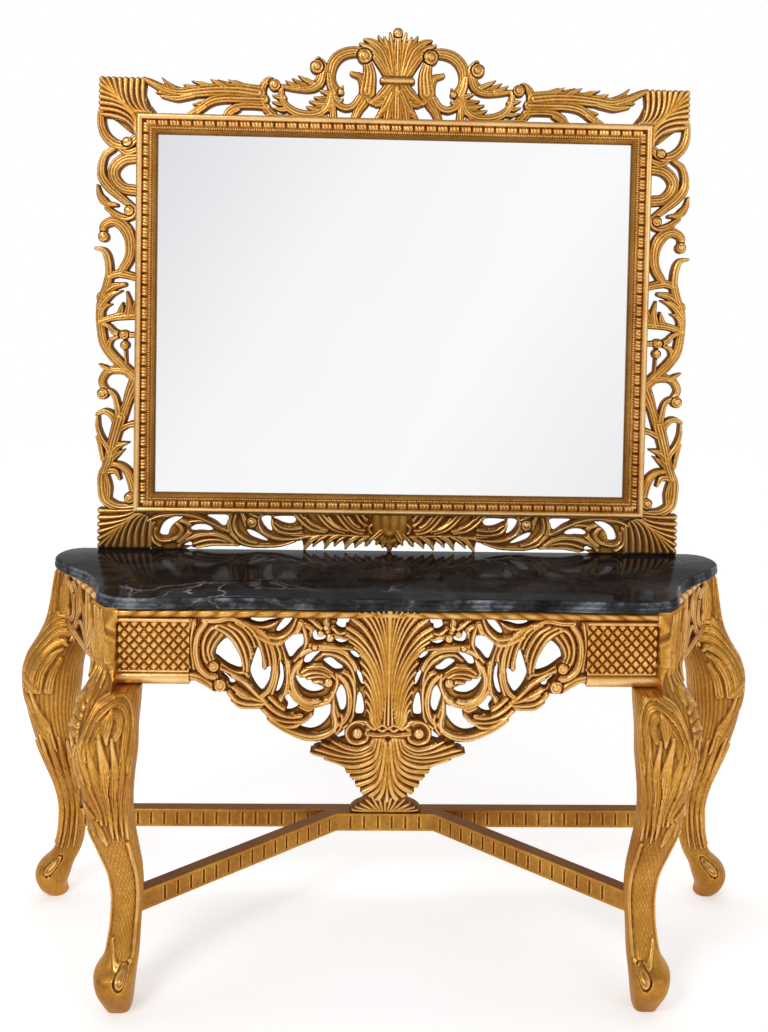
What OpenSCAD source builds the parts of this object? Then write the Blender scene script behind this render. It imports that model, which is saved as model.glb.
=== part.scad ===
// Gilded console table with a black marble top and a carved mirror that stands on it.
// The width runs along X, the front faces -Y, and the floor is z = 0.
// The wall is the plane y = table_depth / 2, and both halves mirror each other about x = 0.

/* [Table] */
// Height of the marble's upper face above the floor
table_h = 800; // [740:1:880]
// Depth from the wall to the knees of the front legs
table_depth = 500; // [480:1:560]
// Distance between the ankle centres of the back legs
back_ankle_w = 1478; // [1400:1:1560]
// Distance between the ankle centres of the front legs
front_ankle_w = 1038; // [980:1:1100]
// Distance from the wall to the ankle centres of the back legs
back_ankle_gap = 35; // [32:1:45]
// Distance from the front of the table to the ankle centres of the front legs
front_ankle_gap = 100; // [90:1:112]
// Width of a leg across its knee
knee_w = 132; // [120:1:140]

/* [Marble top] */
// Thickness of the marble slab
top_t = 22; // [18:1:30]
// Greatest width of the slab, near the wall
top_w = 1542; // [1500:1:1620]
// How far the slab reaches out over the front apron at its middle
top_over = 11; // [8:1:20]
// Depth of the groove round the slab's edge
top_groove = 2; // [1:0.5:4]
// How far the slab's upper arris is set in by its bevel
top_bevel = 5; // [2:0.5:8]

/* [Apron] */
// How far each end of the front apron reaches past the ankle's centre, into the post
apron_past = 22; // [14:1:30]
// Thickness of the apron boards
apron_t = 26; // [20:1:32]
// How far the face of the front apron lies in front of the ankles' centres
apron_ahead = 10; // [6:1:16]
// Drop of the front apron from the marble to the tip of its pendant
apron_drop = 388; // [340:1:420]
// Height of the fluted moulding under the marble
gadroon_h = 20; // [14:1:26]
// How far the fluted moulding stands out from the apron
gadroon_out = 6; // [3:1:10]
// Height of the lattice panels and of the side aprons, from the marble down
panel_h = 156; // [140:1:170]
// Depth of the field behind the lattice bars
lattice_sink = 3; // [1:0.5:6]
// Spacing of the lattice bars
lattice_pitch = 24; // [18:1:32]

/* [Rails] */
// Height of the plain back rail
back_rail_h = 90; // [60:1:120]
// Thickness of the plain back rail
back_rail_t = 24; // [18:1:30]
// Height of the cross rails that carry the marble
cross_rail_h = 44; // [30:1:60]
// Thickness of the cross rails
cross_rail_t = 26; // [18:1:34]
// Distance of each cross rail from the middle
cross_rail_x = 300; // [250:1:330]

/* [Stretcher] */
// Height of the middle of the stretcher bars above the floor
stretcher_z = 174; // [150:1:220]
// Height of the stretcher bars
stretcher_h = 42; // [34:1:54]
// Thickness of the stretcher bars
stretcher_t = 28; // [20:1:34]
// Width of the centre block
block_w = 226; // [190:1:260]
// Thickness of the centre block in front of the back bar
block_t = 18; // [14:1:26]
// Spacing of the notches cut across the stretcher's arms
notch_pitch = 22; // [16:1:34]
// Spacing of the notches on the stretcher's rail and block
close_pitch = 15; // [10:1:24]
// Width of a notch
notch_w = 3.5; // [2:0.5:6]
// Depth of a notch
notch_depth = 2.5; // [1:0.5:4]
// Height of the carved leaf that stands on the block
leaf_h = 48; // [36:1:60]

/* [Mirror frame] */
// Width of the moulded frame, outside to outside
frame_w = 1212; // [1160:1:1260]
// Height of the moulded frame, outside to outside
frame_h = 937; // [880:1:1000]
// Height of the frame's lower edge above the marble
frame_lift = 90; // [84:1:100]
// Width of the moulding
moulding_w = 46; // [40:1:56]
// Depth of the moulding from the wall
moulding_t = 34; // [30:1:42]
// Width of the carved border outside the moulding, at the sides
border_w = 92; // [84:1:104]
// Width of the carved border above the moulding, at the corners
border_top = 86; // [80:1:96]
// Thickness of the carved border
border_t = 25; // [20:1:30]
// Height of the crest above the moulding
crest_h = 214; // [190:1:240]

/* [Mirror glass] */
// Thickness of the mirror glass
glass_t = 4; // [3:0.5:6]
// Thickness of the backing board
backing_t = 4; // [3:0.5:5]
// How far the glass reaches behind the moulding
glass_lap = 8; // [5:1:12]
// Clearance round the glass in its rebate
glass_gap = 1; // [0.5:0.5:2]
// How far the backing board lies in from the back of the frame
backing_inset = 3; // [2:0.5:4]

/* [Hangers] */
// Distance of each hanger plate from the middle
hanger_x = 480; // [400:1:520]
// Width of a hanger plate
hanger_w = 44; // [36:1:60]
// Height of a hanger plate
hanger_h = 24; // [20:1:28]
// Thickness of a hanger plate
hanger_t = 2; // [1.5:0.5:3]
// Diameter of a wood screw's shank
screw_d = 4; // [3:0.5:5]
// Length of a hanger screw
screw_len = 16; // [12:1:20]

/* [Hidden] */

gilt = [0.78, 0.53, 0.2];
gilt_dark = [0.62, 0.4, 0.14];
bare_wood = [0.72, 0.56, 0.38];

wall_y = table_depth / 2;
under_top = table_h - top_t;
seam = 0.02;
spans = 3;
ball_sides = 20;

// A Catmull-Rom point between b and c, with a and d as the neighbours
function cr(a, b, c, d, t) = 0.5 * (2 * b + (c - a) * t
    + (2 * a - 5 * b + 4 * c - d) * t * t + (3 * b - a - 3 * c + d) * t * t * t);
function at(p, i) = i < 0 ? 2 * p[0] - p[1] : i >= len(p) ? 2 * p[len(p) - 1] - p[len(p) - 2] : p[i];
// A smooth curve through the points, with n steps to a span
function smooth(p, n) = concat(
    [for (i = [0:len(p) - 2], k = [0:n - 1]) cr(at(p, i - 1), p[i], p[i + 1], at(p, i + 2), k / n)],
    [p[len(p) - 1]]);
// The same for a closed line
function smooth_loop(p, n) = [for (i = [0:len(p) - 1], k = [0:n - 1])
    cr(p[(i + len(p) - 1) % len(p)], p[i], p[(i + 1) % len(p)], p[(i + 2) % len(p)], k / n)];

function unit(v) = v / max(norm(v), 0.001);
function stroke_w(w, t) = t < 0.5 ? w[0] + (w[1] - w[0]) * 2 * t : w[1] + (w[2] - w[1]) * (2 * t - 1);

// One carved strand: w holds its widths at the start, middle and end of the curve through p
module stroke(w, p) {
    c = smooth(p, spans);
    n = len(c) - 1;
    side = [for (i = [0:n]) let (d = unit(at(c, i + 1) - at(c, i - 1)))
        [-d[1], d[0]] * stroke_w(w, i / n) / 2];
    for (i = [0:n - 1])
        polygon([c[i] + side[i], c[i + 1] + side[i + 1], c[i + 1] - side[i + 1], c[i] - side[i]]);
    if (w[0] > 7) translate(c[0]) circle(d = w[0], $fn = 10);
    if (w[2] > 7) translate(c[n]) circle(d = w[2], $fn = 10);
}

module carving(strokes, balls = []) {
    for (s = strokes) stroke(s[0], s[1]);
    for (b = balls) translate(b[1]) circle(r = b[0], $fn = ball_sides);
}

// Stands a flat drawing (x, z) up, with its back at back_y and t thick towards the front
module upright(back_y, t) {
    translate([0, back_y, 0]) rotate([90, 0, 0]) linear_extrude(t) offset(delta = -seam) children();
}

module left_right(right) {
    mirror([right ? 1 : 0, 0, 0]) children();
}

// The marble top: half of its outline, drawn for a slab 1542 wide and 421 deep
drawn_top = [1542, 421];
front_ankle = [-front_ankle_w / 2, -wall_y + front_ankle_gap];
back_ankle = [-back_ankle_w / 2, wall_y - back_ankle_gap];
apron_w = front_ankle_w + 2 * apron_past;
apron_front = front_ankle[1] - apron_ahead;
apron_back = apron_front + apron_t;
top_depth = wall_y - apron_front + top_over;
top_half = [[0, -171], [90, -169], [180, -165], [265, -163], [360, -167], [455, -171], [520, -172],
    [560, -160], [585, -136], [598, -112], [613, -65], [635, -16], [662, 22], [701, 61], [742, 108],
    [766, 150], [771, 185], [764, 217], [748, 239], [722, 250]];
function top_pt(p) = [p[0] * top_w / drawn_top[0], wall_y - (250 - p[1]) * top_depth / drawn_top[1]];
top_curve = smooth([for (p = top_half) top_pt(p)], 2);

module top_outline(inset) {
    n = len(top_curve);
    offset(delta = -inset)
        polygon(concat(top_curve, [for (i = [n - 1:-1:1]) [-top_curve[i][0], top_curve[i][1]]]));
}

module marble_top() {
    lower = top_t * 0.5;
    groove_h = 1.5;
    bevel_h = 3;
    color([0.1, 0.1, 0.12]) {
        translate([0, 0, under_top]) linear_extrude(2) top_outline(1.5);
        translate([0, 0, under_top + 2]) linear_extrude(lower - 2) top_outline(0);
        translate([0, 0, under_top + lower]) linear_extrude(groove_h) top_outline(top_groove);
        translate([0, 0, under_top + lower + groove_h])
            linear_extrude(top_t - lower - groove_h - bevel_h) top_outline(1);
        translate([0, 0, table_h - bevel_h]) linear_extrude(bevel_h) top_outline(top_bevel);
    }
}

// A leg's rings: height, offsets of the centre outwards and forwards from the ankle, the
// half sizes across and in depth, and how square the section is, from 1 for an oval down
drawn_leg_h = 778;
drawn_knee = 132;
leg_sides = 28;
front_form = [[0, 0, 50, 24, 27, 0.8], [20, 5, 54, 31, 37, 0.8], [45, 11, 54, 39, 47, 0.9],
    [68, 9, 44, 41, 46, 0.9], [88, 5, 30, 36, 39, 0.9], [112, 3, 17, 33, 35, 0.9], [150, 2, 6, 32, 32, 0.9],
    [200, 1, 0, 33, 32, 0.9], [250, 5, 5, 36, 35, 0.9], [300, 17, 13, 41, 40, 0.9], [350, 29, 20, 46, 45, 0.9],
    [400, 31, 28, 47, 50, 0.9], [450, 33, 34, 53, 56, 0.9], [500, 36, 36, 62, 60, 0.9],
    [550, 38, 34, 65, 62, 0.9], [600, 34, 20, 62, 56, 0.8], [630, 33, 2, 58, 48, 0.7],
    [655, 33, -12, 57, 42, 0.6], [690, 34, -20, 57, 38, 0.5], [778, 35, -24, 57, 36, 0.5]];
back_form = [[0, 27, 26, 24, 26, 0.8], [17, 36, 28, 30, 34, 0.8], [42, 38, 28, 40, 40, 0.9],
    [66, 32, 23, 41, 40, 0.9], [88, 14, 13, 34, 34, 0.9], [112, 5, 7, 32, 32, 0.9], [150, 0, 3, 31, 31, 0.9],
    [200, -1, 1, 32, 31, 0.9], [250, 4, 5, 37, 36, 0.9], [300, 15, 12, 43, 42, 0.9], [350, 26, 20, 48, 47, 0.9],
    [400, 34, 28, 53, 52, 0.9], [450, 38, 33, 59, 57, 0.9], [500, 38, 34, 65, 60, 0.9],
    [540, 36, 32, 66, 62, 0.9], [580, 27, 24, 64, 60, 0.9], [612, 15, 14, 57, 52, 0.8],
    [650, 7, 6, 50, 46, 0.7], [700, 4, 2, 44, 40, 0.6], [778, 0, 0, 37, 36, 0.5]];

// The canted line of the slab's front corner, with how far the front posts stand out past it
post_proud = 7;
slab_corner = [for (i = [7, 9]) let (p = top_pt(top_half[i])) [-p[0], p[1]]];
cant_along = unit(slab_corner[1] - slab_corner[0]);
cant_out = [-cant_along[1], cant_along[0]];
function canted(p, z) = let (over = max(0, (p - slab_corner[0]) * cant_out - post_proud),
    t = min(1, max(0, (z - 612) / 45))) p - cant_out * over * t;
function rounded(v, e) = sign(v) * pow(abs(v), e);

// One ring of a leg's sweep, a slightly squared oval
function leg_ring(ankle, r) = [for (k = [0:leg_sides - 1])
    let (a = 360 * k / leg_sides, size = knee_w / drawn_knee,
        x = ankle[0] + (r[3] * rounded(cos(a), r[5]) - r[1]) * size,
        y = ankle[1] + (r[4] * rounded(sin(a), r[5]) - r[2]) * size,
        p = canted([x, y], r[0]))
    [p[0], min(wall_y, max(-wall_y, p[1])), r[0] * under_top / drawn_leg_h]];

module leg_sweep(ankle, form) {
    rings = smooth(form, 2);
    n = leg_sides;
    m = len(rings);
    points = [for (r = rings) each leg_ring(ankle, r)];
    walls = [for (j = [0:m - 2], k = [0:n - 1])
        [j * n + k, (j + 1) * n + k, (j + 1) * n + (k + 1) % n, j * n + (k + 1) % n]];
    foot = [for (k = [0:n - 1]) k];
    head = [for (k = [n - 1:-1:0]) (m - 1) * n + k];
    polyhedron(points, concat([foot], walls, [head]), convexity = 6);
}

// Places of the boards, which also cut their seats in the legs
panel_z = under_top - panel_h;
side_front = [-548, -150];
side_back = [-742, 178];
drawn_ankles = [[-519, -150], [-739, 215]];
side_start = front_ankle + side_front - drawn_ankles[0];
side_end = back_ankle + side_back - drawn_ankles[1];
side_len = norm(side_end - side_start);
side_turn = atan2(side_end[1] - side_start[1], side_end[0] - side_start[0]);

module front_apron_seat() {
    translate([-apron_w / 2, -wall_y - 1, panel_z])
        cube([apron_w, apron_back + wall_y + 1, panel_h + 1]);
}

// Puts a piece drawn along X in the line of the left side apron, with its outer face on the local +Y side
module along_side() {
    translate(side_start) rotate([0, 0, side_turn]) translate([0, -apron_t / 2, 0]) children();
}

module side_apron_seat() {
    along_side() translate([0, 0, panel_z]) cube([side_len, apron_t, panel_h + 1]);
}

back_rail_end = -back_ankle[0] - 28;
module back_rail_seat() {
    translate([-back_rail_end, wall_y - back_rail_t, under_top - back_rail_h])
        cube([2 * back_rail_end, back_rail_t + 1, back_rail_h + 1]);
}

// The stretcher's places
rail_front = back_ankle[1] - stretcher_t / 2 - 14;
block_front = rail_front - block_t;
stretcher_end = -back_ankle[0] - 20;
arm_start = [-block_w / 2, block_front];
arm_aim = front_ankle + [9, -10];
arm_turn = atan2(arm_aim[1] - arm_start[1], arm_aim[0] - arm_start[0]);
arm_len = norm(arm_aim - arm_start) - 18;
arm_tail = 60;

module stretcher_bar(start, length, y, t) {
    translate([start, y, stretcher_z - stretcher_h / 2]) cube([length, t, stretcher_h]);
}

module arm_solid() {
    intersection() {
        translate(arm_start) rotate([0, 0, arm_turn])
            stretcher_bar(-arm_tail, arm_len + arm_tail, -stretcher_t, stretcher_t);
        translate([-front_ankle_w - block_w / 2, rail_front - front_ankle_w, 0]) cube(front_ankle_w);
    }
}

module front_leg(right) {
    color(gilt) left_right(right) difference() {
        leg_sweep(front_ankle, front_form);
        front_apron_seat();
        side_apron_seat();
        arm_solid();
    }
}

module back_leg(right) {
    color(gilt) left_right(right) difference() {
        leg_sweep(back_ankle, back_form);
        side_apron_seat();
        back_rail_seat();
        stretcher_bar(-stretcher_end, 2 * stretcher_end, rail_front, stretcher_t);
    }
}

// The front apron, drawn for a board 1082 long whose pendant hangs 388 below the marble
drawn_apron = [541, 388];
drawn_under_top = 778;
function apron_pt(p) = [p[0] * apron_w / 2 / drawn_apron[0],
    under_top + (p[1] - drawn_under_top) * apron_drop / drawn_apron[1]];
strip_z = under_top - gadroon_h;
lattice_end = 400;
lattice_x = -apron_pt([-lattice_end, 0])[0];

plume_ground = [
    [0, 777], [-66, 777], [-74, 766], [-86, 742], [-87, 732], [-80, 718], [-73, 706], [-62, 693],
    [-58, 676], [-54, 655], [-50, 632], [-48, 610], [-46, 585], [-44, 560], [-50, 549], [-72, 547],
    [-82, 532], [-80, 516], [-104, 508], [-128, 503], [-155, 489], [-142, 482], [-120, 474], [-100, 467],
    [-86, 462], [-80, 448], [-67, 434], [-60, 420], [-50, 408], [-22, 394], [0, 389]];

scroll_outline = [
    [-401, 762], [-401, 627], [-385, 627], [-370, 620], [-358, 611], [-350, 606], [-340, 604], [-326, 605],
    [-320, 592], [-310, 581], [-299, 573], [-285, 571], [-260, 571], [-252, 562], [-240, 547], [-227, 537],
    [-210, 526], [-190, 515], [-170, 507], [-152, 505], [-134, 504], [-100, 498], [-60, 500], [-40, 520],
    [-44, 560], [-46, 600], [-50, 640], [-58, 690], [-70, 710], [-70, 762]];

scroll_holes = [
    [[-350, 680], [-347, 693], [-340, 703], [-331, 711], [-321, 710], [-308, 692], [-299, 675],
        [-296, 657], [-302, 652], [-320, 658], [-334, 667], [-345, 676]],
    [[-264, 696], [-270, 682], [-277, 660], [-280, 645], [-272, 625], [-260, 609], [-254, 608],
        [-246, 620], [-241, 632], [-239, 650], [-240, 657], [-246, 653], [-252, 652], [-256, 659],
        [-257, 672], [-259, 688]],
    [[-219, 672], [-214, 650], [-213, 632], [-217, 615], [-223, 605], [-228, 604], [-224, 620],
        [-220, 640], [-221, 658]],
    [[-192, 764], [-208, 757], [-222, 742], [-229, 728], [-222, 727], [-208, 738], [-198, 751]],
    [[-304, 763], [-292, 756], [-277, 748], [-260, 745], [-240, 750], [-225, 753], [-214, 763]],
    [[-212, 705], [-202, 717], [-190, 725], [-176, 722], [-174, 702], [-185, 690], [-199, 674],
        [-206, 684]],
    [[-155, 727], [-150, 731], [-146, 722], [-140, 719], [-132, 720], [-129, 716], [-135, 710],
        [-150, 709], [-155, 717]],
    [[-111, 712], [-100, 716], [-88, 712], [-78, 714], [-86, 707], [-100, 704]],
    [[-80, 688], [-74, 690], [-62, 681], [-60, 676], [-64, 673], [-73, 678]],
    [[-66, 647], [-63, 654], [-58, 646], [-52, 628], [-50, 620], [-55, 620], [-61, 632]],
    [[-64, 590], [-63, 600], [-58, 604], [-53, 592], [-50, 575], [-51, 562], [-56, 558], [-66, 560],
        [-66, 575]],
    [[-133, 668], [-125, 674], [-115, 673], [-104, 664], [-93, 656], [-97, 651], [-108, 650], [-118, 655]],
    [[-188, 640], [-180, 636], [-168, 632], [-155, 626], [-143, 619], [-133, 614], [-134, 608],
        [-145, 604], [-158, 604], [-170, 609], [-180, 618], [-187, 630]],
    [[-106, 600], [-100, 617], [-95, 618], [-88, 605], [-86, 590], [-87, 575], [-92, 566], [-97, 567],
        [-102, 582]],
    [[-180, 535], [-170, 530], [-155, 528], [-140, 533], [-128, 543], [-119, 557], [-117, 570],
        [-118, 580], [-128, 579], [-148, 574], [-151, 560], [-162, 549], [-175, 541]],
    [[-211, 595], [-204, 602], [-199, 600], [-195, 592], [-186, 583], [-181, 578], [-188, 571],
        [-198, 567], [-207, 568], [-203, 578], [-208, 587]],
    [[-104, 514], [-95, 522], [-86, 530], [-82, 520], [-76, 513], [-84, 503], [-90, 501], [-98, 506]],
    [[-336, 642], [-330, 641], [-318, 631], [-310, 626], [-312, 621], [-320, 621], [-323, 629],
        [-330, 636]],
    [[-172, 664], [-170, 676], [-158, 684], [-143, 690], [-140, 686], [-152, 674], [-162, 663]],
    [[-120, 758], [-118, 764], [-80, 764], [-80, 750], [-88, 737], [-98, 735], [-108, 742], [-106, 752]]];

module plume_half() {
    polygon([for (p = plume_ground) apron_pt(p)]);
}

module plume_shape() {
    intersection() {
        union() {
            plume_half();
            mirror([1, 0]) plume_half();
        }
        translate([-lattice_x, 0]) square([2 * lattice_x, strip_z]);
    }
}

module apron_plume() {
    color(gilt) upright(apron_back, apron_t + gadroon_out) plume_shape();
}

module apron_scroll(right) {
    color(gilt) left_right(right) upright(apron_back, apron_t) difference() {
        intersection() {
            polygon([for (p = scroll_outline) apron_pt(p)]);
            translate([-lattice_x, 0]) square([lattice_x, strip_z]);
        }
        for (hole = scroll_holes) polygon(smooth_loop([for (p = hole) apron_pt(p)], 3));
        plume_shape();
    }
}

module lattice_bars(w, h) {
    n = ceil((w + h) / lattice_pitch);
    intersection() {
        square([w, h]);
        for (i = [0:n], a = [45, 135])
            translate([i * lattice_pitch - (a == 45 ? h : 0), 0]) rotate([0, 0, a])
                translate([-h, -2]) square([3 * h, 4]);
    }
}

module apron_lattice(right) {
    w = apron_w / 2 - lattice_x;
    bead = 26;
    field_h = panel_h - gadroon_h - 2 * bead;
    field_w = w - 12;
    color(gilt) left_right(right) {
        upright(apron_back, apron_t - lattice_sink)
            translate([-apron_w / 2, panel_z]) square([w, panel_h - gadroon_h]);
        upright(apron_front + lattice_sink, lattice_sink) translate([-apron_w / 2, panel_z]) difference() {
            square([w, panel_h - gadroon_h]);
            translate([6, bead]) square([field_w, field_h]);
        }
        upright(apron_front + lattice_sink, lattice_sink)
            translate([-apron_w / 2 + 6, panel_z + bead]) lattice_bars(field_w, field_h);
    }
}

module apron_moulding() {
    color(gilt) difference() {
        translate([-apron_w / 2, apron_front - gadroon_out, strip_z])
            cube([apron_w, apron_t + gadroon_out, gadroon_h]);
        translate([-apron_w / 2 - 1, apron_front - gadroon_out, strip_z]) rotate([45, 0, 0])
            cube([apron_w + 2, gadroon_out, gadroon_out], center = false);
    }
}

// The side apron, drawn 376 long and standing between z = 622 and z = 778
drawn_side = 381;
drawn_panel = 156;
side_strokes = [
    [[22, 18, 22], [[0, 646], [95, 640], [190, 634], [285, 640], [381, 646]]],
    [[44, 44, 44], [[8, 640], [8, 700], [8, 765]]],
    [[44, 44, 44], [[373, 640], [373, 700], [373, 765]]],
    [[20, 22, 16], [[30, 742], [60, 734], [79, 708], [76, 680], [54, 664], [32, 668]]],
    [[20, 22, 16], [[351, 742], [321, 734], [302, 708], [305, 680], [327, 664], [349, 668]]],
    [[22, 25, 16], [[76, 650], [102, 672], [114, 702], [108, 732], [86, 750], [62, 746]]],
    [[22, 25, 16], [[305, 650], [279, 672], [267, 702], [273, 732], [295, 750], [319, 746]]],
    [[20, 22, 14], [[112, 688], [136, 710], [143, 738], [132, 760]]],
    [[20, 22, 14], [[269, 688], [245, 710], [238, 738], [249, 760]]],
    [[36, 38, 32], [[190, 640], [190, 700], [190, 765]]],
    [[24, 24, 10], [[186, 650], [166, 688], [150, 720], [132, 728]]],
    [[24, 24, 10], [[194, 650], [214, 688], [230, 720], [248, 728]]],
    [[20, 20, 8], [[184, 645], [158, 668], [134, 678], [112, 672]]],
    [[20, 20, 8], [[196, 645], [222, 668], [246, 678], [268, 672]]]];
side_balls = [[12, [34, 678]], [12, [347, 678]], [12, [68, 738]], [12, [313, 738]]];
function side_pt(p) = [p[0] * side_len / drawn_side,
    under_top + (p[1] - drawn_under_top) * panel_h / drawn_panel];

module side_apron(right) {
    scale_up = panel_h / drawn_panel;
    strokes = [for (s = side_strokes) [s[0] * scale_up, [for (p = s[1]) side_pt(p)]]];
    balls = [for (b = side_balls) [b[0] * scale_up, side_pt(b[1])]];
    color(gilt_dark) left_right(right) along_side() {
        upright(apron_t, apron_t) intersection() {
            carving(strokes, balls);
            translate([0, panel_z]) square([side_len, panel_h - gadroon_h + 2 * seam]);
        }
        translate([0, 0, strip_z]) cube([side_len, apron_t, gadroon_h]);
    }
}

module back_rail() {
    color(bare_wood) translate([-back_rail_end, wall_y - back_rail_t, under_top - back_rail_h])
        cube([2 * back_rail_end, back_rail_t, back_rail_h]);
}

module cross_rail(right) {
    color(bare_wood) left_right(right)
        translate([-cross_rail_x - cross_rail_t / 2, apron_back, under_top - cross_rail_h])
            cube([cross_rail_t, wall_y - back_rail_t - apron_back, cross_rail_h]);
}

// Notches across the front face of a bar that lies along X with its front face at y = 0
module notches(length, first, pitch) {
    for (x = [first:pitch:length - pitch / 2])
        translate([x - notch_w / 2, -1, stretcher_z - stretcher_h * 0.32])
            cube([notch_w, notch_depth + 1, stretcher_h * 0.64]);
}

bolt_x = block_w / 2 - 26;
module screw_hole_pair(d, y0, y1) {
    for (s = [-1, 1])
        translate([s * bolt_x, y1, stretcher_z]) rotate([90, 0, 0]) cylinder(h = y1 - y0, d = d, $fn = 24);
}

module stretcher_rail() {
    color(gilt_dark) difference() {
        stretcher_bar(-stretcher_end, 2 * stretcher_end, rail_front, stretcher_t);
        for (s = [0, 1]) mirror([s, 0, 0])
            translate([block_w / 2, rail_front, 0])
                notches(stretcher_end - block_w / 2, close_pitch, close_pitch);
        screw_hole_pair(screw_d, rail_front - 1, rail_front + stretcher_t + 1);
    }
}

module stretcher_block() {
    color(gilt_dark) difference() {
        stretcher_bar(-block_w / 2, block_w, block_front, block_t);
        translate([-block_w / 2, block_front, 0])
            notches(block_w, (block_w % close_pitch + close_pitch) / 2, close_pitch);
        screw_hole_pair(screw_d, rail_front - block_t * 0.6, rail_front + 1);
    }
}

module stretcher_screws() {
    head_t = 2.5;
    color([0.7, 0.7, 0.68]) {
        screw_hole_pair(screw_d, rail_front - block_t * 0.6, rail_front + stretcher_t);
        screw_hole_pair(screw_d * 2, rail_front + stretcher_t, rail_front + stretcher_t + head_t);
    }
}

// The carved leaf that stands on the stretcher's centre block
module stretcher_leaf() {
    z0 = stretcher_z + stretcher_h / 2;
    half = block_w * 0.37;
    depth = block_t + stretcher_t * 0.5;
    outline = smooth([[half, 0], [half * 0.96, leaf_h * 0.2], [half * 0.84, leaf_h * 0.36],
        [half * 0.66, leaf_h * 0.5], [half * 0.58, leaf_h * 0.72], [half * 0.4, leaf_h * 0.9], [0, leaf_h]], 3);
    n = len(outline);
    color(gilt) upright(block_front + 2 + depth, depth) translate([0, z0 + seam])
        polygon(concat(outline, [for (i = [n - 2:-1:0]) [-outline[i][0], outline[i][1]]]));
}

module stretcher_arm(right) {
    color(gilt_dark) left_right(right) difference() {
        arm_solid();
        translate(arm_start) rotate([0, 0, arm_turn]) mirror([0, 1, 0])
            notches(arm_len - 20, notch_pitch * 0.6, notch_pitch);
    }
}

// The mirror's frame
frame_z = table_h + frame_lift;
frame_top = frame_z + frame_h;
half_frame = frame_w / 2;
glass_front = wall_y - backing_inset - backing_t - glass_t;
rebate_w = glass_lap + glass_gap;
// The moulding's section: distance in from its outer edge, and y
moulding_section = [[0, wall_y - moulding_t + 4], [2, wall_y - moulding_t + 1], [6, wall_y - moulding_t],
    [10, wall_y - moulding_t + 2], [12, wall_y - moulding_t + 5], [moulding_w - 15, wall_y - moulding_t + 9],
    [moulding_w - 13, wall_y - moulding_t + 6], [moulding_w - 8, wall_y - moulding_t + 6],
    [moulding_w - 4, wall_y - moulding_t + 10], [moulding_w, glass_front - 2], [moulding_w, glass_front],
    [moulding_w - rebate_w, glass_front], [moulding_w - rebate_w, wall_y], [0, wall_y]];

// A mitred length of moulding along X, with its outer edge at z = 0 and its inner edge above
module moulding(length) {
    intersection() {
        translate([-length / 2, 0, 0]) rotate([90, 0, 90]) linear_extrude(length)
            polygon([for (p = moulding_section) [p[1], p[0]]]);
        upright(wall_y + 1, moulding_t + 2)
            polygon([[-length / 2, 0], [length / 2, 0], [length / 2 - moulding_w, moulding_w],
                [moulding_w - length / 2, moulding_w]]);
    }
}

hanger_z = frame_top - moulding_w / 2 + 4;
hanger_screw_dx = hanger_w / 2 - 8;

// Each hanger plate lies in a recess in the back of the top moulding
module hanger_places() {
    for (s = [-1, 1]) translate([s * hanger_x, wall_y, hanger_z]) children();
}

module hanger_screw_places() {
    hanger_places() for (s = [-1, 1]) translate([s * hanger_screw_dx, 0, 0]) rotate([90, 0, 0]) children();
}

module moulding_top() {
    keyhole_depth = 10;
    color(gilt) difference() {
        translate([0, 0, frame_top]) mirror([0, 0, 1]) moulding(frame_w);
        hanger_places() translate([-hanger_w / 2, -hanger_t, -hanger_h / 2])
            cube([hanger_w, hanger_t + 1, hanger_h]);
        hanger_places() translate([-6, -keyhole_depth, -8]) cube([12, keyhole_depth, 16]);
        hanger_screw_places() cylinder(h = screw_len, d = screw_d, $fn = 24);
    }
}

module moulding_bottom() {
    color(gilt) translate([0, 0, frame_z]) moulding(frame_w);
}

module moulding_side(right) {
    color(gilt) left_right(right) translate([-half_frame, 0, frame_z + frame_h / 2]) rotate([0, 90, 0])
        moulding(frame_h);
}

module plate(half_w, z0, z1, y, t) {
    translate([-half_w, y, z0]) cube([2 * half_w, t, z1 - z0]);
}

glass_edge = moulding_w - glass_lap;
module mirror_glass() {
    color([0.85, 0.88, 0.9]) plate(half_frame - glass_edge, frame_z + glass_edge, frame_top - glass_edge,
        glass_front, glass_t);
}

module backing_board() {
    color(bare_wood) plate(half_frame - glass_edge, frame_z + glass_edge, frame_top - glass_edge,
        glass_front + glass_t, backing_t);
}

// Small bent clips that hold the backing board in the rebate, two to a side
module backing_clips() {
    clip_w = 14;
    clip_t = 1.5;
    reach = 12;
    color([0.72, 0.71, 0.68]) translate([0, wall_y - backing_inset, 0]) {
        for (s = [-1, 1], x = [-0.25, 0.25]) {
            translate([s * (half_frame - moulding_w + rebate_w) - (s > 0 ? reach : 0), 0,
                frame_z + frame_h / 2 + x * frame_h]) cube([reach, clip_t, clip_w]);
            translate([x * frame_w, 0,
                s > 0 ? frame_top - moulding_w + rebate_w - reach : frame_z + moulding_w - rebate_w])
                cube([clip_w, clip_t, reach]);
        }
    }
}

module hanger_plates() {
    color([0.75, 0.74, 0.7]) difference() {
        hanger_places() translate([-hanger_w / 2, -hanger_t, -hanger_h / 2])
            cube([hanger_w, hanger_t, hanger_h]);
        hanger_places() rotate([90, 0, 0]) translate([0, 0, -1]) {
            cylinder(h = hanger_t + 2, d = 9, $fn = 32);
            translate([-2, 0, 0]) cube([4, 9, hanger_t + 2]);
        }
        hanger_screw_places() translate([0, 0, -1]) cylinder(h = hanger_t + 2, d = screw_d, $fn = 24);
    }
}

module hanger_screws() {
    color([0.7, 0.7, 0.68]) hanger_screw_places() cylinder(h = screw_len, d = screw_d, $fn = 24);
}

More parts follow.
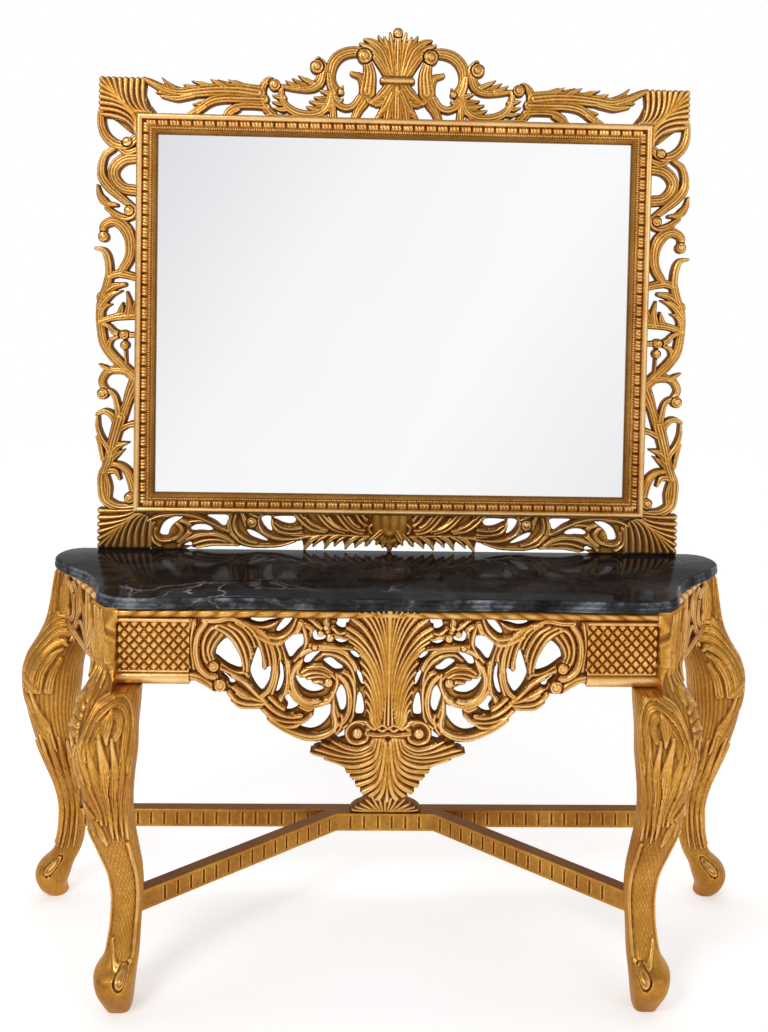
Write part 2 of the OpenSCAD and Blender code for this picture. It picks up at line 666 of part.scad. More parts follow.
// The carved border, drawn round a moulded frame 1212 by 937 whose lower edge is at z = 890
drawn_frame = [606, 890, 1827];
drawn_border = [92, 86, 214, 90];
function stretch(a, low, high, under, over) =
    a < low ? under * (a - low) : a > high ? (high - low) + over * (a - high) : a - low;
function border_x(x) = x < -drawn_frame[0]
    ? -half_frame + (x + drawn_frame[0]) * border_w / drawn_border[0] : x * half_frame / drawn_frame[0];
function border_z(z) = z < drawn_frame[1] ? frame_z + (z - drawn_frame[1]) * frame_lift / drawn_border[3]
    : z > drawn_frame[2] ? frame_top + (z - drawn_frame[2]) * border_top / drawn_border[1]
    : frame_z + (z - drawn_frame[1]) * frame_h / (drawn_frame[2] - drawn_frame[1]);
function crest_z(z) = frame_top + (z - drawn_frame[2]) * crest_h / drawn_border[2];
function border_pt(p) = [border_x(p[0]), border_z(p[1])];
function crest_pt(p) = [border_x(p[0]), crest_z(p[1])];
border_scale = border_w / drawn_border[0];
crest_scale = crest_h / drawn_border[2];
function border_set(strokes) = [for (s = strokes) [s[0] * border_scale, [for (p = s[1]) border_pt(p)]]];
function border_balls(balls) = [for (b = balls) [b[0] * border_scale, border_pt(b[1])]];
function crest_set(strokes) = [for (s = strokes) [s[0] * crest_scale, [for (p = s[1]) crest_pt(p)]]];
function crest_balls(balls) = [for (b = balls) [b[0] * crest_scale, crest_pt(b[1])]];

top_shell = [[-606, 1772], [-640, 1792], [-675, 1812], [-696, 1826], [-698, 1870], [-698, 1913], [-650, 1911],
    [-600, 1913], [-588, 1905], [-585, 1880], [-578, 1850], [-560, 1827], [-606, 1827]];
low_shell = [[-606, 890], [-606, 898], [-650, 896], [-692, 898], [-694, 850], [-692, 800], [-570, 800], [-556, 812],
    [-552, 838], [-558, 862], [-574, 882], [-592, 890]];

side_carving_strokes = [
    [[18, 26, 22], [[-691, 1828], [-690, 1800], [-681, 1776], [-662, 1758], [-642, 1752], [-626, 1756],
        [-610, 1770]]],
    [[14, 18, 14], [[-650, 1748], [-630, 1736], [-606, 1744]]],
    [[14, 25, 16], [[-662, 1744], [-682, 1728], [-690, 1700], [-687, 1676], [-670, 1653], [-650, 1636],
        [-630, 1620], [-608, 1602]]],
    [[30, 28, 28], [[-606, 1727], [-636, 1722], [-656, 1706], [-663, 1686], [-654, 1666], [-636, 1652],
        [-606, 1648]]],
    [[6, 21, 10], [[-698, 1658], [-692, 1634], [-676, 1617], [-654, 1613]]],
    [[14, 20, 16], [[-676, 1606], [-656, 1592], [-636, 1584], [-618, 1588], [-607, 1606]]],
    [[16, 31, 22], [[-685, 1544], [-683, 1564], [-662, 1575], [-641, 1567], [-626, 1546], [-620, 1518],
        [-624, 1488], [-642, 1456]]],
    [[14, 14, 12], [[-664, 1582], [-654, 1592], [-640, 1584]]],
    [[8, 19, 20], [[-701, 1511], [-682, 1506], [-672, 1482], [-669, 1448]]],
    [[22, 23, 28], [[-668, 1454], [-677, 1418], [-688, 1385], [-690, 1350], [-687, 1316], [-680, 1286],
        [-660, 1258], [-634, 1232], [-604, 1204]]],
    [[18, 22, 20], [[-672, 1444], [-650, 1452], [-628, 1450], [-602, 1443]]],
    [[26, 22, 12], [[-688, 1396], [-662, 1420], [-634, 1427]]],
    [[22, 18, 4], [[-690, 1374], [-668, 1400], [-640, 1412]]],
    [[18, 16, 4], [[-690, 1358], [-680, 1374], [-664, 1380]]],
    [[16, 18, 24], [[-692, 1338], [-672, 1345], [-648, 1351], [-602, 1356]]],
    [[20, 16, 4], [[-646, 1352], [-641, 1368], [-638, 1384]]],
    [[24, 18, 4], [[-625, 1356], [-622, 1380], [-627, 1410]]],
    [[18, 14, 4], [[-612, 1356], [-610, 1372], [-609, 1388]]],
    [[10, 17, 14], [[-686, 1336], [-669, 1328], [-658, 1316], [-640, 1310], [-602, 1308]]],
    [[8, 18, 16], [[-648, 1303], [-664, 1296], [-670, 1278], [-656, 1258], [-634, 1236]]],
    [[9, 8, 5], [[-632, 1300], [-631, 1275], [-628, 1244]]],
    [[28, 20, 16], [[-604, 1206], [-624, 1222], [-650, 1226], [-672, 1220], [-684, 1204], [-684, 1190],
        [-676, 1178]]],
    [[14, 12, 3], [[-664, 1222], [-680, 1232], [-691, 1239]]],
    [[38, 24, 28], [[-602, 1206], [-616, 1176], [-626, 1148], [-638, 1112], [-648, 1086]]],
    [[32, 28, 26], [[-642, 1112], [-651, 1080], [-660, 1045], [-667, 1010], [-676, 985]]],
    [[22, 27, 18], [[-668, 1004], [-682, 976], [-682, 944], [-676, 918], [-656, 903], [-634, 899],
        [-602, 902]]],
    [[12, 14, 20], [[-683, 1168], [-670, 1176], [-655, 1164], [-648, 1136], [-644, 1105]]],
    [[10, 20, 20], [[-695, 1120], [-678, 1127], [-660, 1117], [-651, 1096], [-648, 1072]]],
    [[8, 15, 18], [[-694, 1114], [-693, 1088], [-684, 1062], [-670, 1042], [-662, 1022]]],
    [[18, 15, 20], [[-644, 1082], [-622, 1095], [-601, 1099]]],
    [[24, 22, 5], [[-666, 1020], [-648, 1044], [-622, 1053]]],
    [[16, 14, 4], [[-660, 1012], [-646, 1026], [-632, 1036]]],
    [[8, 13, 12], [[-694, 1066], [-687, 1044], [-681, 1012]]],
    [[12, 22, 28], [[-668, 1002], [-642, 999], [-624, 984], [-613, 960], [-605, 930]]],
    [[16, 18, 6], [[-672, 984], [-652, 985], [-640, 966]]],
    [[10, 14, 12], [[-672, 975], [-666, 945], [-668, 912]]]];
side_carving_balls = [
    [12, [-630, 1761]], [12, [-625, 1600]], [13, [-684, 1538]], [12, [-634, 1309]], [11, [-632, 1284]],
    [14, [-683, 1168]], [14, [-618, 922]]];

top_carving_strokes = [
    [[38, 30, 12], [[-325, 1882], [-370, 1887], [-420, 1887], [-470, 1882], [-510, 1877], [-545, 1886],
        [-575, 1900], [-592, 1907]]],
    [[16, 12, 3], [[-340, 1886], [-360, 1899], [-380, 1909]]],
    [[16, 12, 3], [[-360, 1890], [-378, 1902], [-395, 1910]]],
    [[16, 12, 3], [[-384, 1892], [-402, 1902], [-420, 1909]]],
    [[16, 12, 3], [[-402, 1892], [-418, 1902], [-436, 1909]]],
    [[14, 12, 3], [[-432, 1890], [-454, 1899], [-480, 1905]]],
    [[14, 11, 3], [[-462, 1888], [-482, 1892], [-500, 1897]]],
    [[20, 16, 3], [[-510, 1882], [-532, 1893], [-550, 1911]]],
    [[20, 22, 8], [[-478, 1874], [-516, 1867], [-550, 1868]]],
    [[16, 16, 5], [[-516, 1878], [-542, 1878], [-563, 1877]]],
    [[26, 24, 14], [[-312, 1868], [-360, 1868], [-400, 1868], [-432, 1862], [-454, 1848], [-472, 1835],
        [-486, 1826]]],
    [[14, 12, 4], [[-440, 1860], [-462, 1854], [-477, 1851]]],
    [[14, 12, 4], [[-450, 1846], [-464, 1834], [-468, 1826]]],
    [[18, 18, 16], [[-304, 1850], [-340, 1852], [-372, 1850], [-392, 1840], [-402, 1826]]],
    [[12, 12, 6], [[-372, 1842], [-388, 1832], [-390, 1826]]],
    [[24, 21, 14], [[-290, 1830], [-310, 1850], [-318, 1878], [-313, 1902], [-300, 1913], [-288, 1908]]],
    [[14, 24, 18], [[-273, 1898], [-269, 1868], [-254, 1848], [-226, 1835], [-190, 1835], [-165, 1852],
        [-155, 1884]]],
    [[14, 12, 14], [[-302, 1829], [-240, 1827], [-168, 1829]]],
    [[16, 13, 3], [[-254, 1846], [-272, 1844], [-290, 1848]]],
    [[16, 13, 3], [[-262, 1858], [-278, 1858], [-293, 1861]]],
    [[16, 13, 3], [[-266, 1872], [-280, 1874], [-292, 1876]]],
    [[22, 22, 5], [[-160, 1850], [-186, 1846], [-212, 1852]]],
    [[22, 18, 5], [[-158, 1860], [-180, 1860], [-205, 1864]]],
    [[18, 16, 5], [[-154, 1872], [-174, 1872], [-194, 1874]]],
    [[14, 14, 5], [[-152, 1882], [-166, 1886], [-180, 1890]]],
    [[12, 28, 16], [[-276, 1899], [-240, 1895], [-205, 1896], [-185, 1908], [-177, 1928], [-175, 1950],
        [-186, 1963]]],
    [[14, 11, 3], [[-232, 1898], [-248, 1904], [-262, 1911]]],
    [[14, 11, 3], [[-216, 1902], [-232, 1909], [-247, 1917]]],
    [[14, 12, 3], [[-196, 1906], [-214, 1914], [-232, 1923]]]];
top_carving_balls = [
    [15, [-288, 1901]], [17, [-190, 1946]]];

crest_half_strokes = [
    [[14, 20, 20], [[-161, 1928], [-158, 1905], [-150, 1885]]],
    [[18, 29, 26], [[-138, 1890], [-152, 1908], [-157, 1932], [-150, 1958], [-132, 1976], [-106, 1984],
        [-80, 1982]]],
    [[18, 20, 16], [[-152, 1886], [-144, 1864], [-122, 1852], [-102, 1858], [-88, 1878]]],
    [[12, 34, 20], [[-107, 1932], [-86, 1924], [-76, 1895], [-78, 1870], [-90, 1850], [-100, 1826]]],
    [[22, 34, 42], [[-72, 1962], [-66, 1930], [-70, 1890]]],
    [[18, 15, 22], [[-155, 1885], [-150, 1855], [-150, 1826]]],
    [[16, 16, 16], [[-66, 1870], [-52, 1864], [-34, 1866]]],
    [[18, 14, 5], [[-146, 1882], [-134, 1888], [-128, 1902]]],
    [[16, 12, 4], [[-144, 1874], [-134, 1868], [-127, 1872]]],
    [[22, 22, 6], [[-8, 1925], [-12, 1985], [-19, 2028]]],
    [[22, 20, 6], [[-10, 1925], [-20, 1985], [-32, 2018]]],
    [[22, 22, 6], [[-12, 1925], [-26, 1985], [-46, 2020]]],
    [[24, 24, 6], [[-15, 1930], [-36, 1984], [-60, 2006], [-79, 2012]]],
    [[24, 26, 6], [[-18, 1930], [-40, 1970], [-64, 1992], [-89, 2002]]],
    [[26, 28, 20], [[-18, 1925], [-36, 1955], [-50, 1974], [-66, 1982]]],
    [[22, 24, 22], [[-8, 1910], [-16, 1870], [-24, 1826]]],
    [[24, 26, 5], [[-14, 1912], [-34, 1886], [-62, 1864]]],
    [[24, 22, 5], [[-16, 1896], [-32, 1868], [-50, 1856]]],
    [[22, 22, 5], [[-12, 1890], [-28, 1856], [-42, 1840]]],
    [[22, 24, 10], [[-12, 1880], [-30, 1850], [-48, 1827]]]];
crest_half_balls = [
    [18, [-78, 1973]], [8, [-132, 1888]]];
crest_middle_strokes = [
    [[34, 26, 22], [[0, 1905], [0, 1970], [0, 2030]]],
    [[19, 19, 19], [[-30, 1917], [0, 1917], [30, 1917]]],
    [[28, 30, 30], [[0, 1912], [0, 1870], [0, 1826]]]];
crest_middle_balls = [
    [12, [0, 2029]]];

bottom_ground = [
    [-574, 894], [6, 894], [6, 826], [-40, 826], [-47, 816], [-53, 812], [-58, 820], [-66, 826], [-74, 816],
    [-82, 808], [-86, 818], [-92, 826], [-98, 814], [-105, 805], [-109, 816], [-113, 826], [-121, 818],
    [-131, 811], [-134, 820], [-138, 826], [-146, 814], [-154, 805], [-157, 816], [-160, 826], [-170, 818],
    [-182, 810], [-184, 818], [-187, 826], [-195, 812], [-203, 801.5], [-206, 812], [-209, 824],
    [-228, 819], [-250, 812], [-275, 808], [-300, 806], [-320, 806], [-345, 808], [-365, 811], [-385, 813],
    [-410, 811], [-440, 806], [-464, 803], [-474, 806], [-490, 805], [-500, 803], [-566, 803], [-574, 830]];

bottom_holes = [
    [[-548, 836], [-545, 850], [-537, 863], [-522, 873], [-506, 877], [-494, 877], [-504, 868],
        [-518, 857], [-526, 842], [-529, 833], [-540, 832]],
    [[-475, 848], [-467, 856], [-452, 859], [-436, 857], [-422, 849], [-430, 844], [-450, 845],
        [-468, 844]],
    [[-436, 881], [-386, 881], [-388, 868], [-392, 858], [-400, 857], [-416, 869]],
    [[-307, 874], [-302, 880], [-284, 880], [-284, 862], [-281, 846], [-290, 848], [-301, 860]],
    [[-341, 845], [-334, 847], [-320, 842], [-304, 832], [-291, 823], [-298, 821], [-318, 827],
        [-333, 834]],
    [[-278, 879], [-230, 880], [-226, 868], [-236, 863], [-252, 865], [-266, 871]],
    [[-492, 809], [-480, 815], [-471, 816], [-471, 808], [-482, 807]]];

bottom_shell_strokes = [
    [[90, 90, 86], [[0, 889], [0, 862], [0, 852]]],
    [[24, 20, 14], [[0, 850], [0, 828], [0, 808]]],
    [[18, 18, 6], [[-8, 848], [-13, 830], [-16, 812]]],
    [[18, 18, 6], [[-14, 848], [-24, 832], [-31, 818]]],
    [[18, 16, 8], [[-20, 848], [-34, 836], [-46, 830]]]];

module half_pair(strokes, balls) {
    carving(strokes, balls);
    mirror([1, 0]) carving(strokes, balls);
}

module border_plate() {
    upright(wall_y, border_t) children();
}

module top_shell_shape() {
    polygon([for (p = top_shell) border_pt(p)]);
}

module low_shell_shape() {
    polygon([for (p = low_shell) border_pt(p)]);
}

module frame_block() {
    translate([-half_frame, frame_z]) square([frame_w, frame_h]);
}

module shell_top(right) {
    color(gilt) left_right(right) border_plate() difference() {
        top_shell_shape();
        frame_block();
    }
}

module shell_bottom(right) {
    color(gilt) left_right(right) border_plate() difference() {
        low_shell_shape();
        frame_block();
    }
}

module side_carving(right) {
    color(gilt) left_right(right) border_plate() difference() {
        carving(border_set(side_carving_strokes), border_balls(side_carving_balls));
        frame_block();
        top_shell_shape();
        low_shell_shape();
    }
}

module crest_shape() {
    difference() {
        union() {
            half_pair(crest_set(crest_half_strokes), crest_balls(crest_half_balls));
            carving(crest_set(crest_middle_strokes), crest_balls(crest_middle_balls));
        }
        frame_block();
    }
}

module crest() {
    color(gilt) border_plate() crest_shape();
}

module top_carving(right) {
    color(gilt) left_right(right) border_plate() difference() {
        carving(crest_set_low(top_carving_strokes), crest_balls_low(top_carving_balls));
        frame_block();
        top_shell_shape();
        crest_shape();
    }
}

// The carving beside the crest follows the crest's height only above the corners' height
function low_pt(p) = [border_x(p[0]), p[1] > drawn_frame[2] + drawn_border[1]
    ? border_z(drawn_frame[2] + drawn_border[1]) + (p[1] - drawn_frame[2] - drawn_border[1]) : border_z(p[1])];
function crest_set_low(strokes) = [for (s = strokes) [s[0] * border_scale, [for (p = s[1]) low_pt(p)]]];
function crest_balls_low(balls) = [for (b = balls) [b[0] * border_scale, low_pt(b[1])]];

module bottom_shell_shape() {
    intersection() {
        half_pair(border_set(bottom_shell_strokes), []);
        translate([-half_frame, table_h]) square([frame_w, frame_lift]);
    }
}

module bottom_carving(right) {
    color(gilt) left_right(right) border_plate() difference() {
        intersection() {
            difference() {
                polygon([for (p = bottom_ground) border_pt(p)]);
                for (hole = bottom_holes) polygon(smooth_loop([for (p = hole) border_pt(p)], 3));
            }
            translate([-half_frame, table_h]) square([half_frame, frame_lift]);
        }
        low_shell_shape();
        bottom_shell_shape();
    }
}

module bottom_shell() {
    color(gilt) border_plate() bottom_shell_shape();
}

marble_top();
front_leg(false);  // front_left_leg
front_leg(true);  // front_right_leg
back_leg(false);  // back_left_leg
back_leg(true);  // back_right_leg
apron_moulding();
apron_plume();
apron_scroll(false);  // apron_scroll_left
apron_scroll(true);  // apron_scroll_right
apron_lattice(false);  // apron_lattice_left
apron_lattice(true);  // apron_lattice_right
side_apron(false);  // side_apron_left
side_apron(true);  // side_apron_right
back_rail();
cross_rail(false);  // cross_rail_left
cross_rail(true);  // cross_rail_right
stretcher_rail();
stretcher_block();
stretcher_leaf();
stretcher_arm(false);  // stretcher_arm_left
stretcher_arm(true);  // stretcher_arm_right
stretcher_screws();
mirror_glass();
backing_board();
moulding_top();
moulding_bottom();
moulding_side(false);  // moulding_left
moulding_side(true);  // moulding_right
shell_top(false);  // shell_top_left
shell_top(true);  // shell_top_right
shell_bottom(false);  // shell_bottom_left
shell_bottom(true);  // shell_bottom_right
crest();
top_carving(false);  // top_carving_left
top_carving(true);  // top_carving_right
side_carving(false);  // side_carving_left
side_carving(true);  // side_carving_right
bottom_carving(false);  // bottom_carving_left
bottom_carving(true);  // bottom_carving_right
bottom_shell();
backing_clips();
hanger_plates();
hanger_screws();
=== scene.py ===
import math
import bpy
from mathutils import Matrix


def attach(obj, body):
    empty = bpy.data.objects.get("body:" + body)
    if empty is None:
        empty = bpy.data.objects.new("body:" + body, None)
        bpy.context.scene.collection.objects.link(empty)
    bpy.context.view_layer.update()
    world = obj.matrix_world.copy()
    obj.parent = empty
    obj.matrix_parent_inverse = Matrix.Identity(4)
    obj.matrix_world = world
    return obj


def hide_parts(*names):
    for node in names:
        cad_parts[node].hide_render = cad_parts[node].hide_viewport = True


bl_info = {
    "name": "Console table with mirror",
    "version": (1, 0, 0),
    "blender": (4, 5, 0),
    "location": "View3D > Sidebar > Console",
    "description": "Carves and finishes the gilded console table and the mirror that stands on it",
    "category": "Object",
}

import bpy
import numpy as np
from bpy.props import FloatProperty, FloatVectorProperty, PointerProperty
from mathutils import Matrix, Vector

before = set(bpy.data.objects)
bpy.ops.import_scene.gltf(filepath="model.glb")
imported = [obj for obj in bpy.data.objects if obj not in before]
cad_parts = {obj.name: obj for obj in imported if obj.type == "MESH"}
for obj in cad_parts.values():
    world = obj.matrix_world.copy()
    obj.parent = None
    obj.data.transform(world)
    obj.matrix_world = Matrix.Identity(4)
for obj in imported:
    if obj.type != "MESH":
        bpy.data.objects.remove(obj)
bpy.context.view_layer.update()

MM = 0.001

# Each side's name, and whether its piece is the left one mirrored
SIDES = (("left", False), ("right", True))

# The photograph's size and the camera fitted to it: turns in radians, place in metres, lens in pixels
PHOTO_W, PHOTO_H = 768, 1032
CAMERA_YAW, CAMERA_PITCH, CAMERA_ROLL = 0.029, 0.034, 0.018
CAMERA_PLACE = (-0.025, -2.143, 1.38)
LENS_PIXELS = 1000
LENS_CENTRE = (411.26, 343.64)
SENSOR = 36

# The studio floor in metres
FLOOR_W, FLOOR_FRONT, FLOOR_BACK = 14, -4.2, 9.0

# The table's places in millimetres, as in the solids
WALL_Y = 250.0
UNDER_TOP = 778.0
TABLE_H = 800.0
FRONT_ANKLE = np.array((-519.0, -150.0))
BACK_ANKLE = np.array((-739.0, 215.0))
APRON_BACK = -134.0
APRON_HALF = 541.0
PANEL_Z = 622.0
STRIP_Z = 758.0
LATTICE_X = 400.0
SIDE_START = np.array((-548.0, -150.0))
SIDE_END = np.array((-742.0, 178.0))
SIDE_T = 26.0
SIDE_LENGTH = 381

# The aprons' ornament; a T is a height over the board's back
GADROON_PITCH = 40
GADROON_LEAN = 26
GADROON_FRONT = 32
LATTICE_CELL = (19.6, 21.6)
PLUME_GROUND_T, PLUME_T = 19, 31
SCROLL_GROUND_T, SCROLL_T = 12, 26
FAN_RUN_ON = 9
FAN_MARGIN = 2.5
FAN_TOP = 500

# The stretcher: its rail stands behind the block, and its arms run from the block to the front legs
STRETCHER_Z = 174.0
STRETCHER_H = 42.0
STRETCHER_T = 28.0
BLOCK_W = 226.0
BLOCK_T = 18.0
RAIL_SETBACK = 14
RAIL_INSET = 20
ARM_INSET = 18
ARM_CLEAR = 38
ARM_AIM = (9, -10)

# The stretcher's notches: pitches in millimetres, and the first notch in shares of its pitch
ARM_PITCH = 30.0
ARM_FIRST = 0.7
RAIL_PITCH = 30.6
RAIL_FIRST = 1.27
BLOCK_NOTCHES = 6
NOTCH_W = 5.0
NOTCH_DEPTH = 2.5
LEAF_BACK = 34
LEAF_GROUND_T, LEAF_T = 24, 31
LEAF_OUTLINE = [[83.6, 0], [80.3, 9.6], [70.2, 17.3], [55.2, 24], [48.5, 34.6], [33.4, 43.2], [0, 48]]
LEAF_TIPS = [[0, 46], [16, 43], [31, 38], [44, 30], [56, 20], [68, 13], [76, 6]]

# The mirror's places, and where the zones of its moulding end, in from the outer edge
HALF_FRAME = 606.0
FRAME_Z = 890.0
FRAME_TOP = 1827.0
MOULDING_W = 46.0
BEAD_END, REED_END, PEARL_END = 13, 27.5, 37.5
DART_PITCH = 27.3
REBATE_D, REBATE_H = 37, 11
BORDER_T = 25.0
SHELL_GROUND_T = 15
BOTTOM_GROUND_T = 13
CARVING_REACH = 705
BOTTOM_END = -40
GLASS_LAP = 3
MARBLE_GAP = 0.2
MARBLE_CUT = 0.3

# Panels: the value of bare ground, how far strokes lie one below the other, how far and how wide the
# edges and the holes' edges are rounded, and the least height of the face
FAR_OUT = -9.0
STROKE_DROPS = (0.0, 1.8, 0.9, 2.7)
EDGE_DROP, EDGE_W = 2.4, 2.0
HOLE_DROP, HOLE_W = 5.0, 2.2
THINNEST = 2.0


def paired(widths, points, across=SIDE_LENGTH):
    """A stroke and its mirror image on a board of that length."""
    return [[widths, points], [widths, [[across - x, z] for x, z in points]]]


# A stroke of the carving holds its widths at the start, middle and end, and the points (x, z) of its
# middle line on the left half. A ball holds its radius and its centre. Grounds and holes are closed
# outlines. A row of a leg's form holds the height, how far the middle stands out and forward from the
# ankle, the half widths in x and y, and the power that rounds the section.
SCROLL_OUTLINE = [[-401, 762], [-401, 627], [-385, 627], [-370, 620], [-358, 611], [-350, 606], [-340, 604],
    [-326, 605], [-320, 592], [-310, 581], [-299, 573], [-285, 571], [-260, 571], [-252, 562], [-240, 547],
    [-227, 537], [-210, 526], [-190, 515], [-170, 507], [-152, 505], [-134, 504], [-100, 498], [-60, 500],
    [-40, 520], [-44, 560], [-46, 600], [-50, 640], [-58, 690], [-70, 710], [-70, 762]]
SCROLL_HOLES = [
    [[-350, 680], [-347, 693], [-340, 703], [-331, 711], [-321, 710], [-308, 692], [-299, 675], [-296, 657],
        [-302, 652], [-320, 658], [-334, 667], [-345, 676]],
    [[-264, 696], [-270, 682], [-277, 660], [-280, 645], [-272, 625], [-260, 609], [-254, 608], [-246, 620],
        [-241, 632], [-239, 650], [-240, 657], [-246, 653], [-252, 652], [-256, 659], [-257, 672],
        [-259, 688]],
    [[-219, 672], [-214, 650], [-213, 632], [-217, 615], [-223, 605], [-228, 604], [-224, 620], [-220, 640],
        [-221, 658]],
    [[-192, 764], [-208, 757], [-222, 742], [-229, 728], [-222, 727], [-208, 738], [-198, 751]],
    [[-304, 763], [-292, 756], [-277, 748], [-260, 745], [-240, 750], [-225, 753], [-214, 763]],
    [[-212, 705], [-202, 717], [-190, 725], [-176, 722], [-174, 702], [-185, 690], [-199, 674],
        [-206, 684]],
    [[-155, 727], [-150, 731], [-146, 722], [-140, 719], [-132, 720], [-129, 716], [-135, 710], [-150, 709],
        [-155, 717]],
    [[-111, 712], [-100, 716], [-88, 712], [-78, 714], [-86, 707], [-100, 704]],
    [[-80, 688], [-74, 690], [-62, 681], [-60, 676], [-64, 673], [-73, 678]],
    [[-66, 647], [-63, 654], [-58, 646], [-52, 628], [-50, 620], [-55, 620], [-61, 632]],
    [[-64, 590], [-63, 600], [-58, 604], [-53, 592], [-50, 575], [-51, 562], [-56, 558], [-66, 560],
        [-66, 575]],
    [[-133, 668], [-125, 674], [-115, 673], [-104, 664], [-93, 656], [-97, 651], [-108, 650], [-118, 655]],
    [[-188, 640], [-180, 636], [-168, 632], [-155, 626], [-143, 619], [-133, 614], [-134, 608], [-145, 604],
        [-158, 604], [-170, 609], [-180, 618], [-187, 630]],
    [[-106, 600], [-100, 617], [-95, 618], [-88, 605], [-86, 590], [-87, 575], [-92, 566], [-97, 567],
        [-102, 582]],
    [[-180, 535], [-170, 530], [-155, 528], [-140, 533], [-128, 543], [-119, 557], [-117, 570], [-118, 580],
        [-128, 579], [-148, 574], [-151, 560], [-162, 549], [-175, 541]],
    [[-211, 595], [-204, 602], [-199, 600], [-195, 592], [-186, 583], [-181, 578], [-188, 571], [-198, 567],
        [-207, 568], [-203, 578], [-208, 587]],
    [[-104, 514], [-95, 522], [-86, 530], [-82, 520], [-76, 513], [-84, 503], [-90, 501], [-98, 506]],
    [[-336, 642], [-330, 641], [-318, 631], [-310, 626], [-312, 621], [-320, 621], [-323, 629],
        [-330, 636]],
    [[-172, 664], [-170, 676], [-158, 684], [-143, 690], [-140, 686], [-152, 674], [-162, 663]],
    [[-120, 758], [-118, 764], [-80, 764], [-80, 750], [-88, 737], [-98, 735], [-108, 742], [-106, 752]]]
